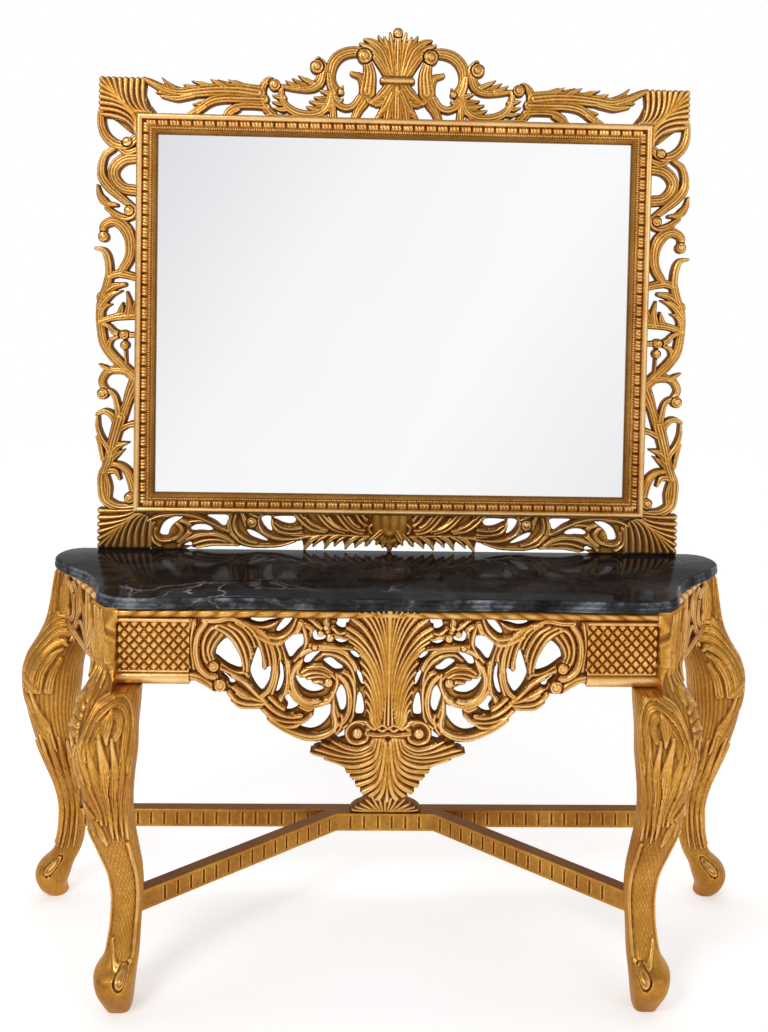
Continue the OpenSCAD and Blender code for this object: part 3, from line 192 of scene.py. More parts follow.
SCROLL_STROKES = [
    [[6, 9, 6], [[-346, 730], [-358, 712], [-363, 692], [-356, 668]]],
    [[5, 8, 5], [[-336, 724], [-349, 708], [-356, 690], [-352, 676]]],
    [[7, 8, 7], [[-401, 752], [-405, 700], [-403, 655]]],
    [[7, 8, 7], [[-392, 750], [-397, 705], [-391, 655]]],
    [[9, 13, 10], [[-368, 748], [-384, 722], [-388, 690], [-381, 658], [-364, 641], [-349, 638]]],
    [[8, 10, 9], [[-344, 742], [-362, 730], [-372, 706], [-370, 678], [-360, 660]]],
    [[10, 12, 8], [[-372, 752], [-345, 752], [-322, 757], [-304, 752], [-292, 742]]],
    [[16, 20, 14], [[-402, 639], [-384, 636], [-366, 626], [-350, 614]]],
    [[8, 9, 6], [[-348, 738], [-332, 730], [-316, 716], [-304, 698], [-296, 678], [-291, 655]]],
    [[8, 9, 7], [[-338, 742], [-318, 732], [-302, 714], [-292, 694], [-286, 672], [-284, 650]]],
    [[8, 8, 5], [[-322, 744], [-302, 732], [-288, 714], [-279, 694], [-276, 676]]],
    [[8, 8, 5], [[-308, 748], [-288, 734], [-275, 716], [-269, 700]]],
    [[7, 8, 5], [[-298, 750], [-276, 734], [-262, 712], [-255, 690], [-251, 672], [-251, 655]]],
    [[7, 8, 6], [[-292, 750], [-268, 734], [-250, 710], [-243, 688], [-238, 664]]],
    [[8, 12, 12], [[-286, 748], [-258, 730], [-238, 704], [-230, 674], [-231, 642], [-240, 614],
        [-254, 600]]],
    [[7, 11, 8], [[-298, 748], [-268, 730], [-240, 719], [-218, 718], [-203, 728], [-193, 744],
        [-188, 760]]],
    [[6, 10, 12], [[-270, 724], [-240, 709], [-216, 708], [-200, 718], [-186, 732], [-180, 748]]],
    [[5, 8, 5], [[-226, 754], [-236, 744], [-256, 740], [-276, 746]]],
    [[8, 10, 8], [[-336, 655], [-316, 646], [-298, 634], [-280, 618], [-262, 600], [-250, 592]]],
    [[6, 9, 6], [[-334, 664], [-318, 654], [-302, 648], [-288, 646], [-282, 640]]],
    [[6, 9, 7], [[-314, 640], [-300, 634], [-286, 626], [-276, 616]]],
    [[8, 11, 8], [[-322, 626], [-306, 612], [-286, 600], [-264, 592], [-246, 588]]],
    [[8, 11, 7], [[-320, 606], [-308, 592], [-290, 585], [-270, 583], [-252, 584]]],
    [[7, 9, 6], [[-312, 588], [-298, 578], [-278, 576], [-256, 578]]],
    [[6, 8, 5], [[-304, 606], [-292, 598], [-278, 596]]],
    [[9, 13, 9], [[-218, 712], [-209, 690], [-203, 660], [-202, 630], [-207, 606], [-216, 594]]],
    [[7, 8, 7], [[-226, 704], [-219, 684], [-222, 660], [-226, 630], [-234, 606]]],
    [[9, 10, 8], [[-176, 748], [-170, 728], [-168, 708], [-176, 690], [-190, 672]]],
    [[7, 8, 6], [[-184, 736], [-186, 730], [-182, 726]]],
    [[7, 9, 7], [[-160, 702], [-140, 703], [-118, 701], [-96, 699], [-74, 696]]],
    [[9, 13, 10], [[-178, 684], [-160, 694], [-136, 697], [-108, 696], [-86, 686], [-72, 668], [-64, 650]]],
    [[8, 11, 8], [[-148, 676], [-130, 686], [-110, 684], [-92, 674], [-78, 660], [-70, 640], [-68, 612]]],
    [[8, 12, 8], [[-174, 672], [-189, 656], [-195, 634], [-190, 612], [-178, 596], [-160, 588],
        [-142, 590]]],
    [[7, 9, 6], [[-178, 664], [-184, 650], [-178, 640]]],
    [[8, 12, 9], [[-200, 612], [-184, 592], [-162, 580], [-138, 582], [-122, 590], [-112, 604]]],
    [[6, 7, 5], [[-176, 648], [-160, 656], [-140, 656], [-120, 648], [-108, 636]]],
    [[6, 7, 5], [[-172, 642], [-155, 648], [-136, 648], [-120, 640]]],
    [[6, 7, 5], [[-164, 636], [-148, 640], [-132, 640], [-122, 634]]],
    [[7, 9, 7], [[-150, 628], [-138, 631], [-126, 624]]],
    [[7, 10, 8], [[-106, 646], [-104, 630], [-107, 612], [-116, 598], [-128, 592]]],
    [[6, 8, 6], [[-164, 660], [-146, 662], [-130, 660], [-114, 650]]],
    [[9, 14, 9], [[-100, 642], [-86, 626], [-79, 604], [-78, 580], [-84, 558], [-96, 542]]],
    [[7, 9, 7], [[-96, 652], [-80, 642], [-70, 622], [-68, 596], [-70, 566], [-76, 550]]],
    [[7, 9, 7], [[-104, 624], [-110, 604], [-106, 582], [-100, 560]]],
    [[8, 11, 9], [[-110, 592], [-110, 570], [-106, 550], [-108, 530]]],
    [[6, 8, 6], [[-96, 566], [-92, 552], [-96, 536], [-104, 524]]],
    [[10, 17, 10], [[-238, 552], [-214, 536], [-186, 523], [-158, 516], [-134, 518], [-114, 528],
        [-102, 544]]],
    [[7, 9, 7], [[-252, 572], [-234, 557], [-212, 549], [-190, 547], [-172, 548]]],
    [[7, 9, 6], [[-248, 586], [-232, 572], [-214, 562], [-194, 558], [-176, 560]]],
    [[7, 9, 6], [[-240, 598], [-226, 584], [-212, 574], [-196, 566]]],
    [[8, 10, 7], [[-240, 560], [-222, 545], [-202, 538], [-182, 540], [-166, 550], [-154, 562]]],
    [[8, 11, 6], [[-178, 578], [-162, 572], [-152, 574]]],
    [[7, 9, 6], [[-168, 744], [-158, 736], [-156, 724]]],
    [[7, 9, 5], [[-158, 755], [-148, 746], [-138, 738]]],
    [[7, 8, 7], [[-127, 762], [-127, 745], [-124, 730]]],
    [[7, 10, 6], [[-114, 738], [-102, 728], [-86, 730]]],
    [[7, 9, 6], [[-116, 722], [-104, 722], [-92, 718], [-78, 718]]],
    [[7, 9, 6], [[-90, 536], [-78, 544], [-64, 548], [-48, 546]]]]
SCROLL_BALLS = [[11, [-352, 659]], [13, [-339, 620]], [9, [-122, 628]], [7, [-139, 727]], [8, [-120, 719]],
    [5, [-128, 740]], [6, [-150, 700]]]
PLUME_GROUND = [[0, 777], [-66, 777], [-74, 766], [-86, 742], [-87, 732], [-80, 718], [-73, 706],
    [-62, 693], [-58, 676], [-54, 655], [-50, 632], [-48, 610], [-46, 585], [-44, 560], [-50, 549],
    [-72, 547], [-82, 532], [-80, 516], [-104, 508], [-128, 503], [-155, 489], [-142, 482], [-120, 474],
    [-100, 467], [-86, 462], [-80, 448], [-67, 434], [-60, 420], [-50, 408], [-22, 394], [0, 389]]
PLUME_TIPS = [[-3, 777], [-13, 776], [-24, 776], [-36, 775], [-49, 774], [-62, 772], [-76, 760], [-86, 742],
    [-86, 728], [-80, 715], [-70, 702], [-60, 689], [-57, 672], [-53, 653], [-50, 633], [-48, 613],
    [-46, 594], [-44, 576]]
FAN_RIBS = [
    [[6, 7, 5], [[-30, 514], [-38, 502], [-58, 494], [-84, 498], [-104, 508]]],
    [[7, 7, 5], [[-26, 516], [-35, 497], [-58, 486], [-90, 490], [-126, 503]]],
    [[7, 8, 8], [[-22, 516], [-32, 491], [-60, 480], [-96, 482], [-140, 494]]],
    [[7, 8, 9], [[-19, 516], [-29, 484], [-60, 471], [-98, 473], [-144, 484]]],
    [[7, 9, 14], [[-16, 516], [-26, 478], [-54, 462], [-84, 461], [-114, 469]]],
    [[7, 9, 14], [[-13, 516], [-22, 470], [-46, 452], [-85, 450]]],
    [[7, 9, 14], [[-10, 514], [-18, 465], [-38, 443], [-75, 435]]],
    [[7, 9, 14], [[-8, 510], [-15, 459], [-31, 433], [-65, 419]]],
    [[7, 9, 14], [[-5, 508], [-11, 452], [-23, 424], [-53, 405]]],
    [[7, 9, 14], [[-3, 505], [-7, 447], [-16, 416], [-37, 397]]],
    [[6, 9, 13], [[-1, 500], [-4, 440], [-9, 411], [-20, 392]]],
    [[6, 9, 11], [[0, 500], [0, 440], [0, 392]]]]
COLLAR_STROKES = [
    [[5, 7, 5], [[-42, 546], [-28, 538], [-12, 545], [0, 538]]],
    [[5, 7, 5], [[-42, 534], [-28, 542], [-12, 532], [0, 541]]],
    [[6, 6, 6], [[-44, 526], [-20, 523], [0, 525]]],
    [[6, 8, 6], [[-42, 548], [-50, 552], [-66, 550], [-80, 540], [-84, 524], [-76, 510], [-60, 506],
        [-44, 512], [-40, 524]]]]
FAN_BALLS = [[10, [-62, 527]]]
SIDE_STROKES = [
    [[22, 18, 22], [[0, 646], [95, 640], [190, 634], [285, 640], [381, 646]]],
    *paired([44, 44, 44], [[8, 640], [8, 700], [8, 765]]),
    *paired([20, 22, 16], [[30, 742], [60, 734], [79, 708], [76, 680], [54, 664], [32, 668]]),
    *paired([22, 25, 16], [[76, 650], [102, 672], [114, 702], [108, 732], [86, 750], [62, 746]]),
    *paired([20, 22, 14], [[112, 688], [136, 710], [143, 738], [132, 760]]),
    [[36, 38, 32], [[190, 640], [190, 700], [190, 765]]],
    *paired([24, 24, 10], [[186, 650], [166, 688], [150, 720], [132, 728]], 380),
    *paired([20, 20, 8], [[184, 645], [158, 668], [134, 678], [112, 672]], 380)]
SIDE_BALLS = [[12, [x, z]] for left, z in ((34, 678), (68, 738)) for x in (left, SIDE_LENGTH - left)]
TOP_HALF = [[0, -171], [90, -169], [180, -165], [265, -163], [360, -167], [455, -171], [520, -172],
    [560, -160], [585, -136], [598, -112], [613, -65], [635, -16], [662, 22], [701, 61], [742, 108],
    [766, 150], [771, 185], [764, 217], [748, 239], [722, 250]]
FRONT_FORM = [[0, 1, 50, 24, 27, 0.6], [20, 4, 53, 30, 35, 0.65], [45, 9, 54, 38, 45, 0.8],
    [70, 11, 46, 42, 47, 0.9], [88, 5, 30, 36, 39, 0.9], [112, 3, 17, 33, 35, 0.9],
    [150, 2, 6, 32, 32, 0.9], [200, 1, 0, 33, 32, 0.9], [250, 5, 5, 36, 35, 0.9],
    [300, 17, 13, 41, 40, 0.9], [350, 29, 20, 46, 45, 0.9], [400, 31, 28, 47, 50, 0.9],
    [450, 33, 34, 53, 56, 0.9], [500, 36, 36, 62, 60, 0.9], [550, 38, 34, 65, 62, 0.9],
    [600, 34, 20, 62, 56, 0.8], [630, 33, 2, 58, 48, 0.7], [655, 33, -12, 57, 42, 0.6],
    [690, 34, -20, 57, 38, 0.5], [778, 35, -24, 57, 36, 0.5]]
BACK_FORM = [[0, 27, 26, 24, 26, 0.8], [17, 36, 28, 30, 34, 0.8], [42, 38, 28, 40, 40, 0.9],
    [66, 32, 23, 41, 40, 0.9], [88, 14, 13, 34, 34, 0.9], [112, 5, 7, 32, 32, 0.9],
    [150, 0, 3, 31, 31, 0.9], [200, -1, 1, 32, 31, 0.9], [250, 4, 5, 37, 36, 0.9],
    [300, 15, 12, 43, 42, 0.9], [350, 26, 20, 48, 47, 0.9], [400, 34, 28, 53, 52, 0.9],
    [450, 38, 33, 59, 57, 0.9], [500, 38, 34, 65, 60, 0.9], [540, 36, 32, 66, 62, 0.9],
    [580, 27, 24, 64, 60, 0.9], [612, 15, 14, 57, 52, 0.8], [650, 7, 6, 50, 46, 0.7],
    [700, 4, 2, 44, 40, 0.6], [778, 0, 0, 37, 36, 0.5]]
TOP_SHELL = [[-606, 1772], [-640, 1792], [-675, 1812], [-696, 1826], [-698, 1870], [-698, 1913],
    [-650, 1911], [-600, 1913], [-588, 1905], [-585, 1880], [-578, 1850], [-560, 1827], [-606, 1827]]
LOW_SHELL = [[-606, 890], [-606, 898], [-650, 896], [-692, 898], [-694, 850], [-692, 800], [-570, 800],
    [-556, 812], [-552, 838], [-558, 862], [-574, 882], [-592, 890]]
SIDE_CARVING_STROKES = [
    [[18, 26, 22], [[-691, 1828], [-690, 1800], [-681, 1776], [-662, 1758], [-642, 1752], [-626, 1756],
        [-610, 1770]]],
    [[14, 18, 14], [[-650, 1748], [-630, 1736], [-606, 1744]]],
    [[14, 25, 16], [[-662, 1744], [-682, 1728], [-690, 1700], [-687, 1676], [-670, 1653], [-650, 1636],
        [-630, 1620], [-608, 1602]]],
    [[30, 28, 28], [[-606, 1727], [-636, 1722], [-656, 1706], [-663, 1686], [-654, 1666], [-636, 1652],
        [-606, 1648]]],
    [[6, 21, 10], [[-698, 1658], [-692, 1634], [-676, 1617], [-654, 1613]]],
    [[14, 20, 16], [[-676, 1606], [-656, 1592], [-636, 1584], [-618, 1588], [-607, 1606]]],
    [[16, 31, 22], [[-685, 1544], [-683, 1564], [-662, 1575], [-641, 1567], [-626, 1546], [-620, 1518],
        [-624, 1488], [-642, 1456]]],
    [[14, 14, 12], [[-664, 1582], [-654, 1592], [-640, 1584]]],
    [[8, 19, 20], [[-701, 1511], [-682, 1506], [-672, 1482], [-669, 1448]]],
    [[22, 23, 28], [[-668, 1454], [-677, 1418], [-688, 1385], [-690, 1350], [-687, 1316], [-680, 1286],
        [-660, 1258], [-634, 1232], [-604, 1204]]],
    [[18, 22, 20], [[-672, 1444], [-650, 1452], [-628, 1450], [-602, 1443]]],
    [[26, 22, 12], [[-688, 1396], [-662, 1420], [-634, 1427]]],
    [[22, 18, 4], [[-690, 1374], [-668, 1400], [-640, 1412]]],
    [[18, 16, 4], [[-690, 1358], [-680, 1374], [-664, 1380]]],
    [[16, 18, 24], [[-692, 1338], [-672, 1345], [-648, 1351], [-602, 1356]]],
    [[20, 16, 4], [[-646, 1352], [-641, 1368], [-638, 1384]]],
    [[24, 18, 4], [[-625, 1356], [-622, 1380], [-627, 1410]]],
    [[18, 14, 4], [[-612, 1356], [-610, 1372], [-609, 1388]]],
    [[10, 17, 14], [[-686, 1336], [-669, 1328], [-658, 1316], [-640, 1310], [-602, 1308]]],
    [[8, 18, 16], [[-648, 1303], [-664, 1296], [-670, 1278], [-656, 1258], [-634, 1236]]],
    [[9, 8, 5], [[-632, 1300], [-631, 1275], [-628, 1244]]],
    [[28, 20, 16], [[-604, 1206], [-624, 1222], [-650, 1226], [-672, 1220], [-684, 1204], [-684, 1190],
        [-676, 1178]]],
    [[14, 12, 3], [[-664, 1222], [-680, 1232], [-691, 1239]]],
    [[38, 24, 28], [[-602, 1206], [-616, 1176], [-626, 1148], [-638, 1112], [-648, 1086]]],
    [[32, 28, 26], [[-642, 1112], [-651, 1080], [-660, 1045], [-667, 1010], [-676, 985]]],
    [[22, 27, 18], [[-668, 1004], [-682, 976], [-682, 944], [-676, 918], [-656, 903], [-634, 899],
        [-602, 902]]],
    [[12, 14, 20], [[-683, 1168], [-670, 1176], [-655, 1164], [-648, 1136], [-644, 1105]]],
    [[10, 20, 20], [[-695, 1120], [-678, 1127], [-660, 1117], [-651, 1096], [-648, 1072]]],
    [[8, 15, 18], [[-694, 1114], [-693, 1088], [-684, 1062], [-670, 1042], [-662, 1022]]],
    [[18, 15, 20], [[-644, 1082], [-622, 1095], [-601, 1099]]],
    [[24, 22, 5], [[-666, 1020], [-648, 1044], [-622, 1053]]],
    [[16, 14, 4], [[-660, 1012], [-646, 1026], [-632, 1036]]],
    [[8, 13, 12], [[-694, 1066], [-687, 1044], [-681, 1012]]],
    [[12, 22, 28], [[-668, 1002], [-642, 999], [-624, 984], [-613, 960], [-605, 930]]],
    [[16, 18, 6], [[-672, 984], [-652, 985], [-640, 966]]],
    [[10, 14, 12], [[-672, 975], [-666, 945], [-668, 912]]]]
SIDE_CARVING_BALLS = [[12, [-630, 1761]], [12, [-625, 1600]], [13, [-684, 1538]], [12, [-634, 1309]], [11,
    [-632, 1284]], [14, [-683, 1168]], [14, [-618, 922]]]
TOP_CARVING_STROKES = [
    [[38, 30, 12], [[-325, 1882], [-370, 1887], [-420, 1887], [-470, 1882], [-510, 1877], [-545, 1886],
        [-575, 1900], [-592, 1907]]],
    [[16, 12, 3], [[-340, 1886], [-360, 1899], [-380, 1909]]],
    [[16, 12, 3], [[-360, 1890], [-378, 1902], [-395, 1910]]],
    [[16, 12, 3], [[-384, 1892], [-402, 1902], [-420, 1909]]],
    [[16, 12, 3], [[-402, 1892], [-418, 1902], [-436, 1909]]],
    [[14, 12, 3], [[-432, 1890], [-454, 1899], [-480, 1905]]],
    [[14, 11, 3], [[-462, 1888], [-482, 1892], [-500, 1897]]],
    [[20, 16, 3], [[-510, 1882], [-532, 1893], [-550, 1911]]],
    [[20, 22, 8], [[-478, 1874], [-516, 1867], [-550, 1868]]],
    [[16, 16, 5], [[-516, 1878], [-542, 1878], [-563, 1877]]],
    [[26, 24, 14], [[-312, 1868], [-360, 1868], [-400, 1868], [-432, 1862], [-454, 1848], [-472, 1835],
        [-486, 1826]]],
    [[14, 12, 4], [[-440, 1860], [-462, 1854], [-477, 1851]]],
    [[14, 12, 4], [[-450, 1846], [-464, 1834], [-468, 1826]]],
    [[18, 18, 16], [[-304, 1850], [-340, 1852], [-372, 1850], [-392, 1840], [-402, 1826]]],
    [[12, 12, 6], [[-372, 1842], [-388, 1832], [-390, 1826]]],
    [[24, 21, 14], [[-290, 1830], [-310, 1850], [-318, 1878], [-313, 1902], [-300, 1913], [-288, 1908]]],
    [[14, 24, 18], [[-273, 1898], [-269, 1868], [-254, 1848], [-226, 1835], [-190, 1835], [-165, 1852],
        [-155, 1884]]],
    [[14, 12, 14], [[-302, 1829], [-240, 1827], [-168, 1829]]],
    [[16, 13, 3], [[-254, 1846], [-272, 1844], [-290, 1848]]],
    [[16, 13, 3], [[-262, 1858], [-278, 1858], [-293, 1861]]],
    [[16, 13, 3], [[-266, 1872], [-280, 1874], [-292, 1876]]],
    [[22, 22, 5], [[-160, 1850], [-186, 1846], [-212, 1852]]],
    [[22, 18, 5], [[-158, 1860], [-180, 1860], [-205, 1864]]],
    [[18, 16, 5], [[-154, 1872], [-174, 1872], [-194, 1874]]],
    [[14, 14, 5], [[-152, 1882], [-166, 1886], [-180, 1890]]],
    [[12, 28, 16], [[-276, 1899], [-240, 1895], [-205, 1896], [-185, 1908], [-177, 1928], [-175, 1950],
        [-186, 1963]]],
    [[14, 11, 3], [[-232, 1898], [-248, 1904], [-262, 1911]]],
    [[14, 11, 3], [[-216, 1902], [-232, 1909], [-247, 1917]]],
    [[14, 12, 3], [[-196, 1906], [-214, 1914], [-232, 1923]]]]
TOP_CARVING_BALLS = [[15, [-288, 1901]], [17, [-190, 1946]]]
CREST_HALF_STROKES = [
    [[14, 20, 20], [[-161, 1928], [-158, 1905], [-150, 1885]]],
    [[18, 29, 26], [[-138, 1890], [-152, 1908], [-157, 1932], [-150, 1958], [-132, 1976], [-106, 1984],
        [-80, 1982]]],
    [[18, 20, 16], [[-152, 1886], [-144, 1864], [-122, 1852], [-102, 1858], [-88, 1878]]],
    [[12, 34, 20], [[-107, 1932], [-86, 1924], [-76, 1895], [-78, 1870], [-90, 1850], [-100, 1826]]],
    [[22, 34, 42], [[-72, 1962], [-66, 1930], [-70, 1890]]],
    [[18, 15, 22], [[-155, 1885], [-150, 1855], [-150, 1826]]],
    [[16, 16, 16], [[-66, 1870], [-52, 1864], [-34, 1866]]],
    [[18, 14, 5], [[-146, 1882], [-134, 1888], [-128, 1902]]],
    [[16, 12, 4], [[-144, 1874], [-134, 1868], [-127, 1872]]],
    [[22, 22, 6], [[-8, 1925], [-12, 1985], [-19, 2028]]],
    [[22, 20, 6], [[-10, 1925], [-20, 1985], [-32, 2018]]],
    [[22, 22, 6], [[-12, 1925], [-26, 1985], [-46, 2020]]],
    [[24, 24, 6], [[-15, 1930], [-36, 1984], [-60, 2006], [-79, 2012]]],
    [[24, 26, 6], [[-18, 1930], [-40, 1970], [-64, 1992], [-89, 2002]]],
    [[26, 28, 20], [[-18, 1925], [-36, 1955], [-50, 1974], [-66, 1982]]],
    [[22, 24, 22], [[-8, 1910], [-16, 1870], [-24, 1826]]],
    [[24, 26, 5], [[-14, 1912], [-34, 1886], [-62, 1864]]],
    [[24, 22, 5], [[-16, 1896], [-32, 1868], [-50, 1856]]],
    [[22, 22, 5], [[-12, 1890], [-28, 1856], [-42, 1840]]],
    [[22, 24, 10], [[-12, 1880], [-30, 1850], [-48, 1827]]]]
CREST_HALF_BALLS = [[18, [-78, 1973]], [8, [-132, 1888]]]
CREST_MIDDLE_STROKES = [
    [[9, 24, 16], [[0, 1918], [0, 1980], [0, 2028]]],
    [[10, 26, 30], [[0, 1916], [0, 1870], [0, 1826]]]]
CREST_COLLAR = [[-34, 1917], [34, 1917]]
CREST_MIDDLE_BALLS = [[12, [0, 2029]]]
BOTTOM_GROUND = [[-574, 894], [6, 894], [6, 826], [-40, 826], [-47, 816], [-53, 812], [-58, 820],
    [-66, 826], [-74, 816], [-82, 808], [-86, 818], [-92, 826], [-98, 814], [-105, 805], [-109, 816],
    [-113, 826], [-121, 818], [-131, 811], [-134, 820], [-138, 826], [-146, 814], [-154, 805], [-157, 816],
    [-160, 826], [-170, 818], [-182, 810], [-184, 818], [-187, 826], [-195, 812], [-203, 801.5],
    [-206, 812], [-209, 824], [-228, 819], [-250, 812], [-275, 808], [-300, 806], [-320, 806], [-345, 808],
    [-365, 811], [-385, 813], [-410, 811], [-440, 806], [-464, 803], [-474, 806], [-490, 797], [-500, 797],
    [-566, 797], [-574, 830]]
BOTTOM_HOLES = [
    [[-548, 836], [-545, 850], [-537, 863], [-522, 873], [-506, 877], [-494, 877], [-504, 868], [-518, 857],
        [-526, 842], [-529, 833], [-540, 832]],
    [[-475, 848], [-467, 856], [-452, 859], [-436, 857], [-422, 849], [-430, 844], [-450, 845],
        [-468, 844]],
    [[-436, 881], [-386, 881], [-388, 868], [-392, 858], [-400, 857], [-416, 869]],
    [[-307, 874], [-302, 880], [-284, 880], [-284, 862], [-281, 846], [-290, 848], [-301, 860]],
    [[-341, 845], [-334, 847], [-320, 842], [-304, 832], [-291, 823], [-298, 821], [-318, 827],
        [-333, 834]],
    [[-278, 879], [-230, 880], [-226, 868], [-236, 863], [-252, 865], [-266, 871]],
    [[-492, 809], [-480, 815], [-471, 816], [-471, 808], [-482, 807]]]
BOTTOM_STROKES = [
    [[8, 9, 7], [[-575, 868], [-545, 880], [-500, 885], [-465, 881], [-435, 870], [-405, 856],
        [-385, 846]]],
    [[8, 9, 7], [[-480, 866], [-455, 869], [-435, 866], [-415, 857], [-395, 847]]],
    [[8, 10, 8], [[-562, 862], [-566, 840], [-560, 820], [-545, 808]]],
    [[7, 9, 7], [[-556, 850], [-556, 832], [-546, 822], [-530, 820], [-512, 824]]],
    [[10, 14, 10], [[-500, 872], [-478, 862], [-474, 845], [-484, 832], [-500, 820]]],
    [[9, 12, 9], [[-515, 868], [-502, 860], [-494, 846], [-500, 832], [-514, 824]]],
    [[8, 12, 10], [[-500, 808], [-480, 824], [-450, 836], [-420, 838], [-395, 832], [-372, 818]]],
    [[7, 10, 8], [[-470, 812], [-440, 822], [-410, 824], [-380, 818], [-362, 812]]],
    [[6, 8, 7], [[-456, 806], [-425, 813], [-395, 814], [-370, 813]]],
    [[10, 13, 9], [[-378, 888], [-382, 862], [-376, 842], [-362, 826]]],
    [[8, 10, 8], [[-366, 884], [-370, 862], [-364, 842], [-350, 826]]],
    [[10, 13, 8], [[-352, 888], [-346, 874], [-342, 860]]],
    [[8, 10, 8], [[-334, 889], [-322, 884], [-314, 880]]],
    [[8, 11, 7], [[-376, 838], [-356, 820], [-330, 811], [-300, 810], [-262, 812], [-228, 822]]],
    [[7, 9, 6], [[-370, 850], [-352, 832], [-335, 822], [-318, 818]]],
    [[8, 11, 8], [[-318, 856], [-300, 840], [-275, 830], [-240, 827], [-200, 832], [-170, 838]]],
    [[8, 11, 8], [[-306, 888], [-312, 866], [-304, 846], [-285, 834]]],
    [[7, 9, 6], [[-282, 868], [-270, 850], [-245, 842], [-210, 842]]],
    [[7, 9, 6], [[-272, 866], [-255, 855], [-235, 852], [-212, 854]]],
    [[7, 9, 6], [[-280, 884], [-278, 862], [-262, 846], [-236, 838], [-205, 836]]],
    [[8, 9, 6], [[-226, 888], [-208, 868], [-185, 852], [-155, 846]]],
    [[8, 9, 6], [[-214, 888], [-196, 870], [-175, 856], [-150, 850]]],
    [[8, 9, 6], [[-202, 880], [-188, 866], [-168, 856]]],
    [[8, 9, 6], [[-172, 888], [-156, 868], [-135, 852], [-108, 844]]],
    [[8, 9, 6], [[-160, 888], [-144, 870], [-124, 856], [-100, 850]]],
    [[8, 9, 6], [[-146, 882], [-134, 866], [-116, 856]]],
    [[8, 9, 6], [[-126, 888], [-110, 866], [-92, 850], [-66, 842]]],
    [[8, 9, 6], [[-114, 888], [-98, 868], [-80, 854], [-62, 850]]],
    [[8, 9, 6], [[-100, 884], [-88, 868], [-74, 858]]],
    [[8, 9, 6], [[-80, 888], [-70, 872], [-58, 862]]],
    [[8, 9, 6], [[-66, 888], [-56, 876]]],
    [[7, 9, 7], [[-205, 834], [-150, 838], [-100, 838], [-50, 836]]],
    [[10, 14, 5], [[-168, 836], [-186, 826], [-203, 803]]],
    [[9, 11, 4], [[-150, 836], [-168, 826], [-182, 811]]],
    [[10, 14, 5], [[-122, 838], [-140, 828], [-154, 807]]],
    [[9, 11, 4], [[-104, 836], [-120, 826], [-131, 812]]],
    [[10, 14, 5], [[-76, 836], [-92, 826], [-105, 807]]],
    [[9, 12, 4], [[-54, 834], [-70, 824], [-82, 810]]],
    [[8, 8, 5], [[-44, 832], [-52, 822], [-57, 814]]],
    [[7, 8, 7], [[-26, 832], [-20, 845], [-24, 860], [-38, 866], [-48, 858], [-46, 846], [-36, 842]]]]
BOTTOM_BALLS = [[13, [-328, 866]]]
BOTTOM_SHELL_STROKES = [
    [[90, 90, 86], [[0, 889], [0, 862], [0, 852]]],
    [[24, 20, 14], [[0, 850], [0, 828], [0, 808]]],
    [[18, 18, 6], [[-8, 848], [-13, 830], [-16, 812]]],
    [[18, 18, 6], [[-14, 848], [-24, 832], [-31, 818]]],
    [[18, 16, 8], [[-20, 848], [-34, 836], [-46, 830]]]]


# ---------------------------------------------------------------- meshes

class Shape:
    """Gathers points and faces of one piece, with a tone from 0 in a cut to 1 on a ridge: patina, with
    painted shade and painted highlights in it.
    """

    def __init__(self):
        self.points = []
        self.relief = []
        self.faces = []
        self.count = 0

    def add(self, points, relief, faces):
        self.points.append(np.asarray(points, float).reshape(-1, 3))
        self.relief.append(np.asarray(relief, float).reshape(-1))
        self.faces.extend((np.asarray(f) + self.count).tolist() for f in faces)
        self.count += len(self.points[-1])

    def grid(self, points, relief):
        """A closed skin: each row of points is a ring, and the first and last ring are filled."""
        rows, columns = points.shape[:2]
        index = np.arange(rows * columns).reshape(rows, columns)
        across = np.roll(index, -1, axis=1)
        quads = np.stack([index[:-1], across[:-1], across[1:], index[1:]], -1).reshape(-1, 4)
        self.add(points, relief, [*quads, index[0][::-1], index[-1]])

    def piece(self, name, mirrored=False):
        points = np.vstack(self.points) * MM
        if mirrored:
            points = points * (-1, 1, 1)
        mesh = bpy.data.meshes.new(name)
        mesh.from_pydata(points.tolist(), [], self.faces)
        # The tone as an attribute: patina with painted shade and painted highlights
        values = mesh.attributes.new("relief", 'FLOAT', 'POINT')
        values.data.foreach_set("value", np.concatenate(self.relief).astype(np.float32))
        piece = bpy.data.objects.new(name, mesh)
        bpy.context.scene.collection.objects.link(piece)
        return piece


def only(piece):
    bpy.ops.object.select_all(action='DESELECT')
    piece.select_set(True)
    bpy.context.view_layer.objects.active = piece


def tidy_faces(piece):
    """Turns every shell's faces outwards."""
    only(piece)
    bpy.ops.object.mode_set(mode='EDIT')
    bpy.ops.mesh.select_all(action='SELECT')
    bpy.ops.mesh.normals_make_consistent(inside=False)
    bpy.ops.object.mode_set(mode='OBJECT')


def dress(piece, material, nodes, crease=50):
    """Gives a new piece its finish and its body, and hides the CAD nodes that it stands for."""
    only(piece)
    bpy.ops.object.shade_smooth_by_angle(angle=math.radians(crease))
    piece.data.materials.clear()
    piece.data.materials.append(material)
    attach(piece, "root")
    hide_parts(*nodes)


def gild(piece, nodes, crease=50):
    """Gives a carved piece outward faces and the gilt finish."""
    tidy_faces(piece)
    dress(piece, finish("Carved gilt"), nodes, crease)


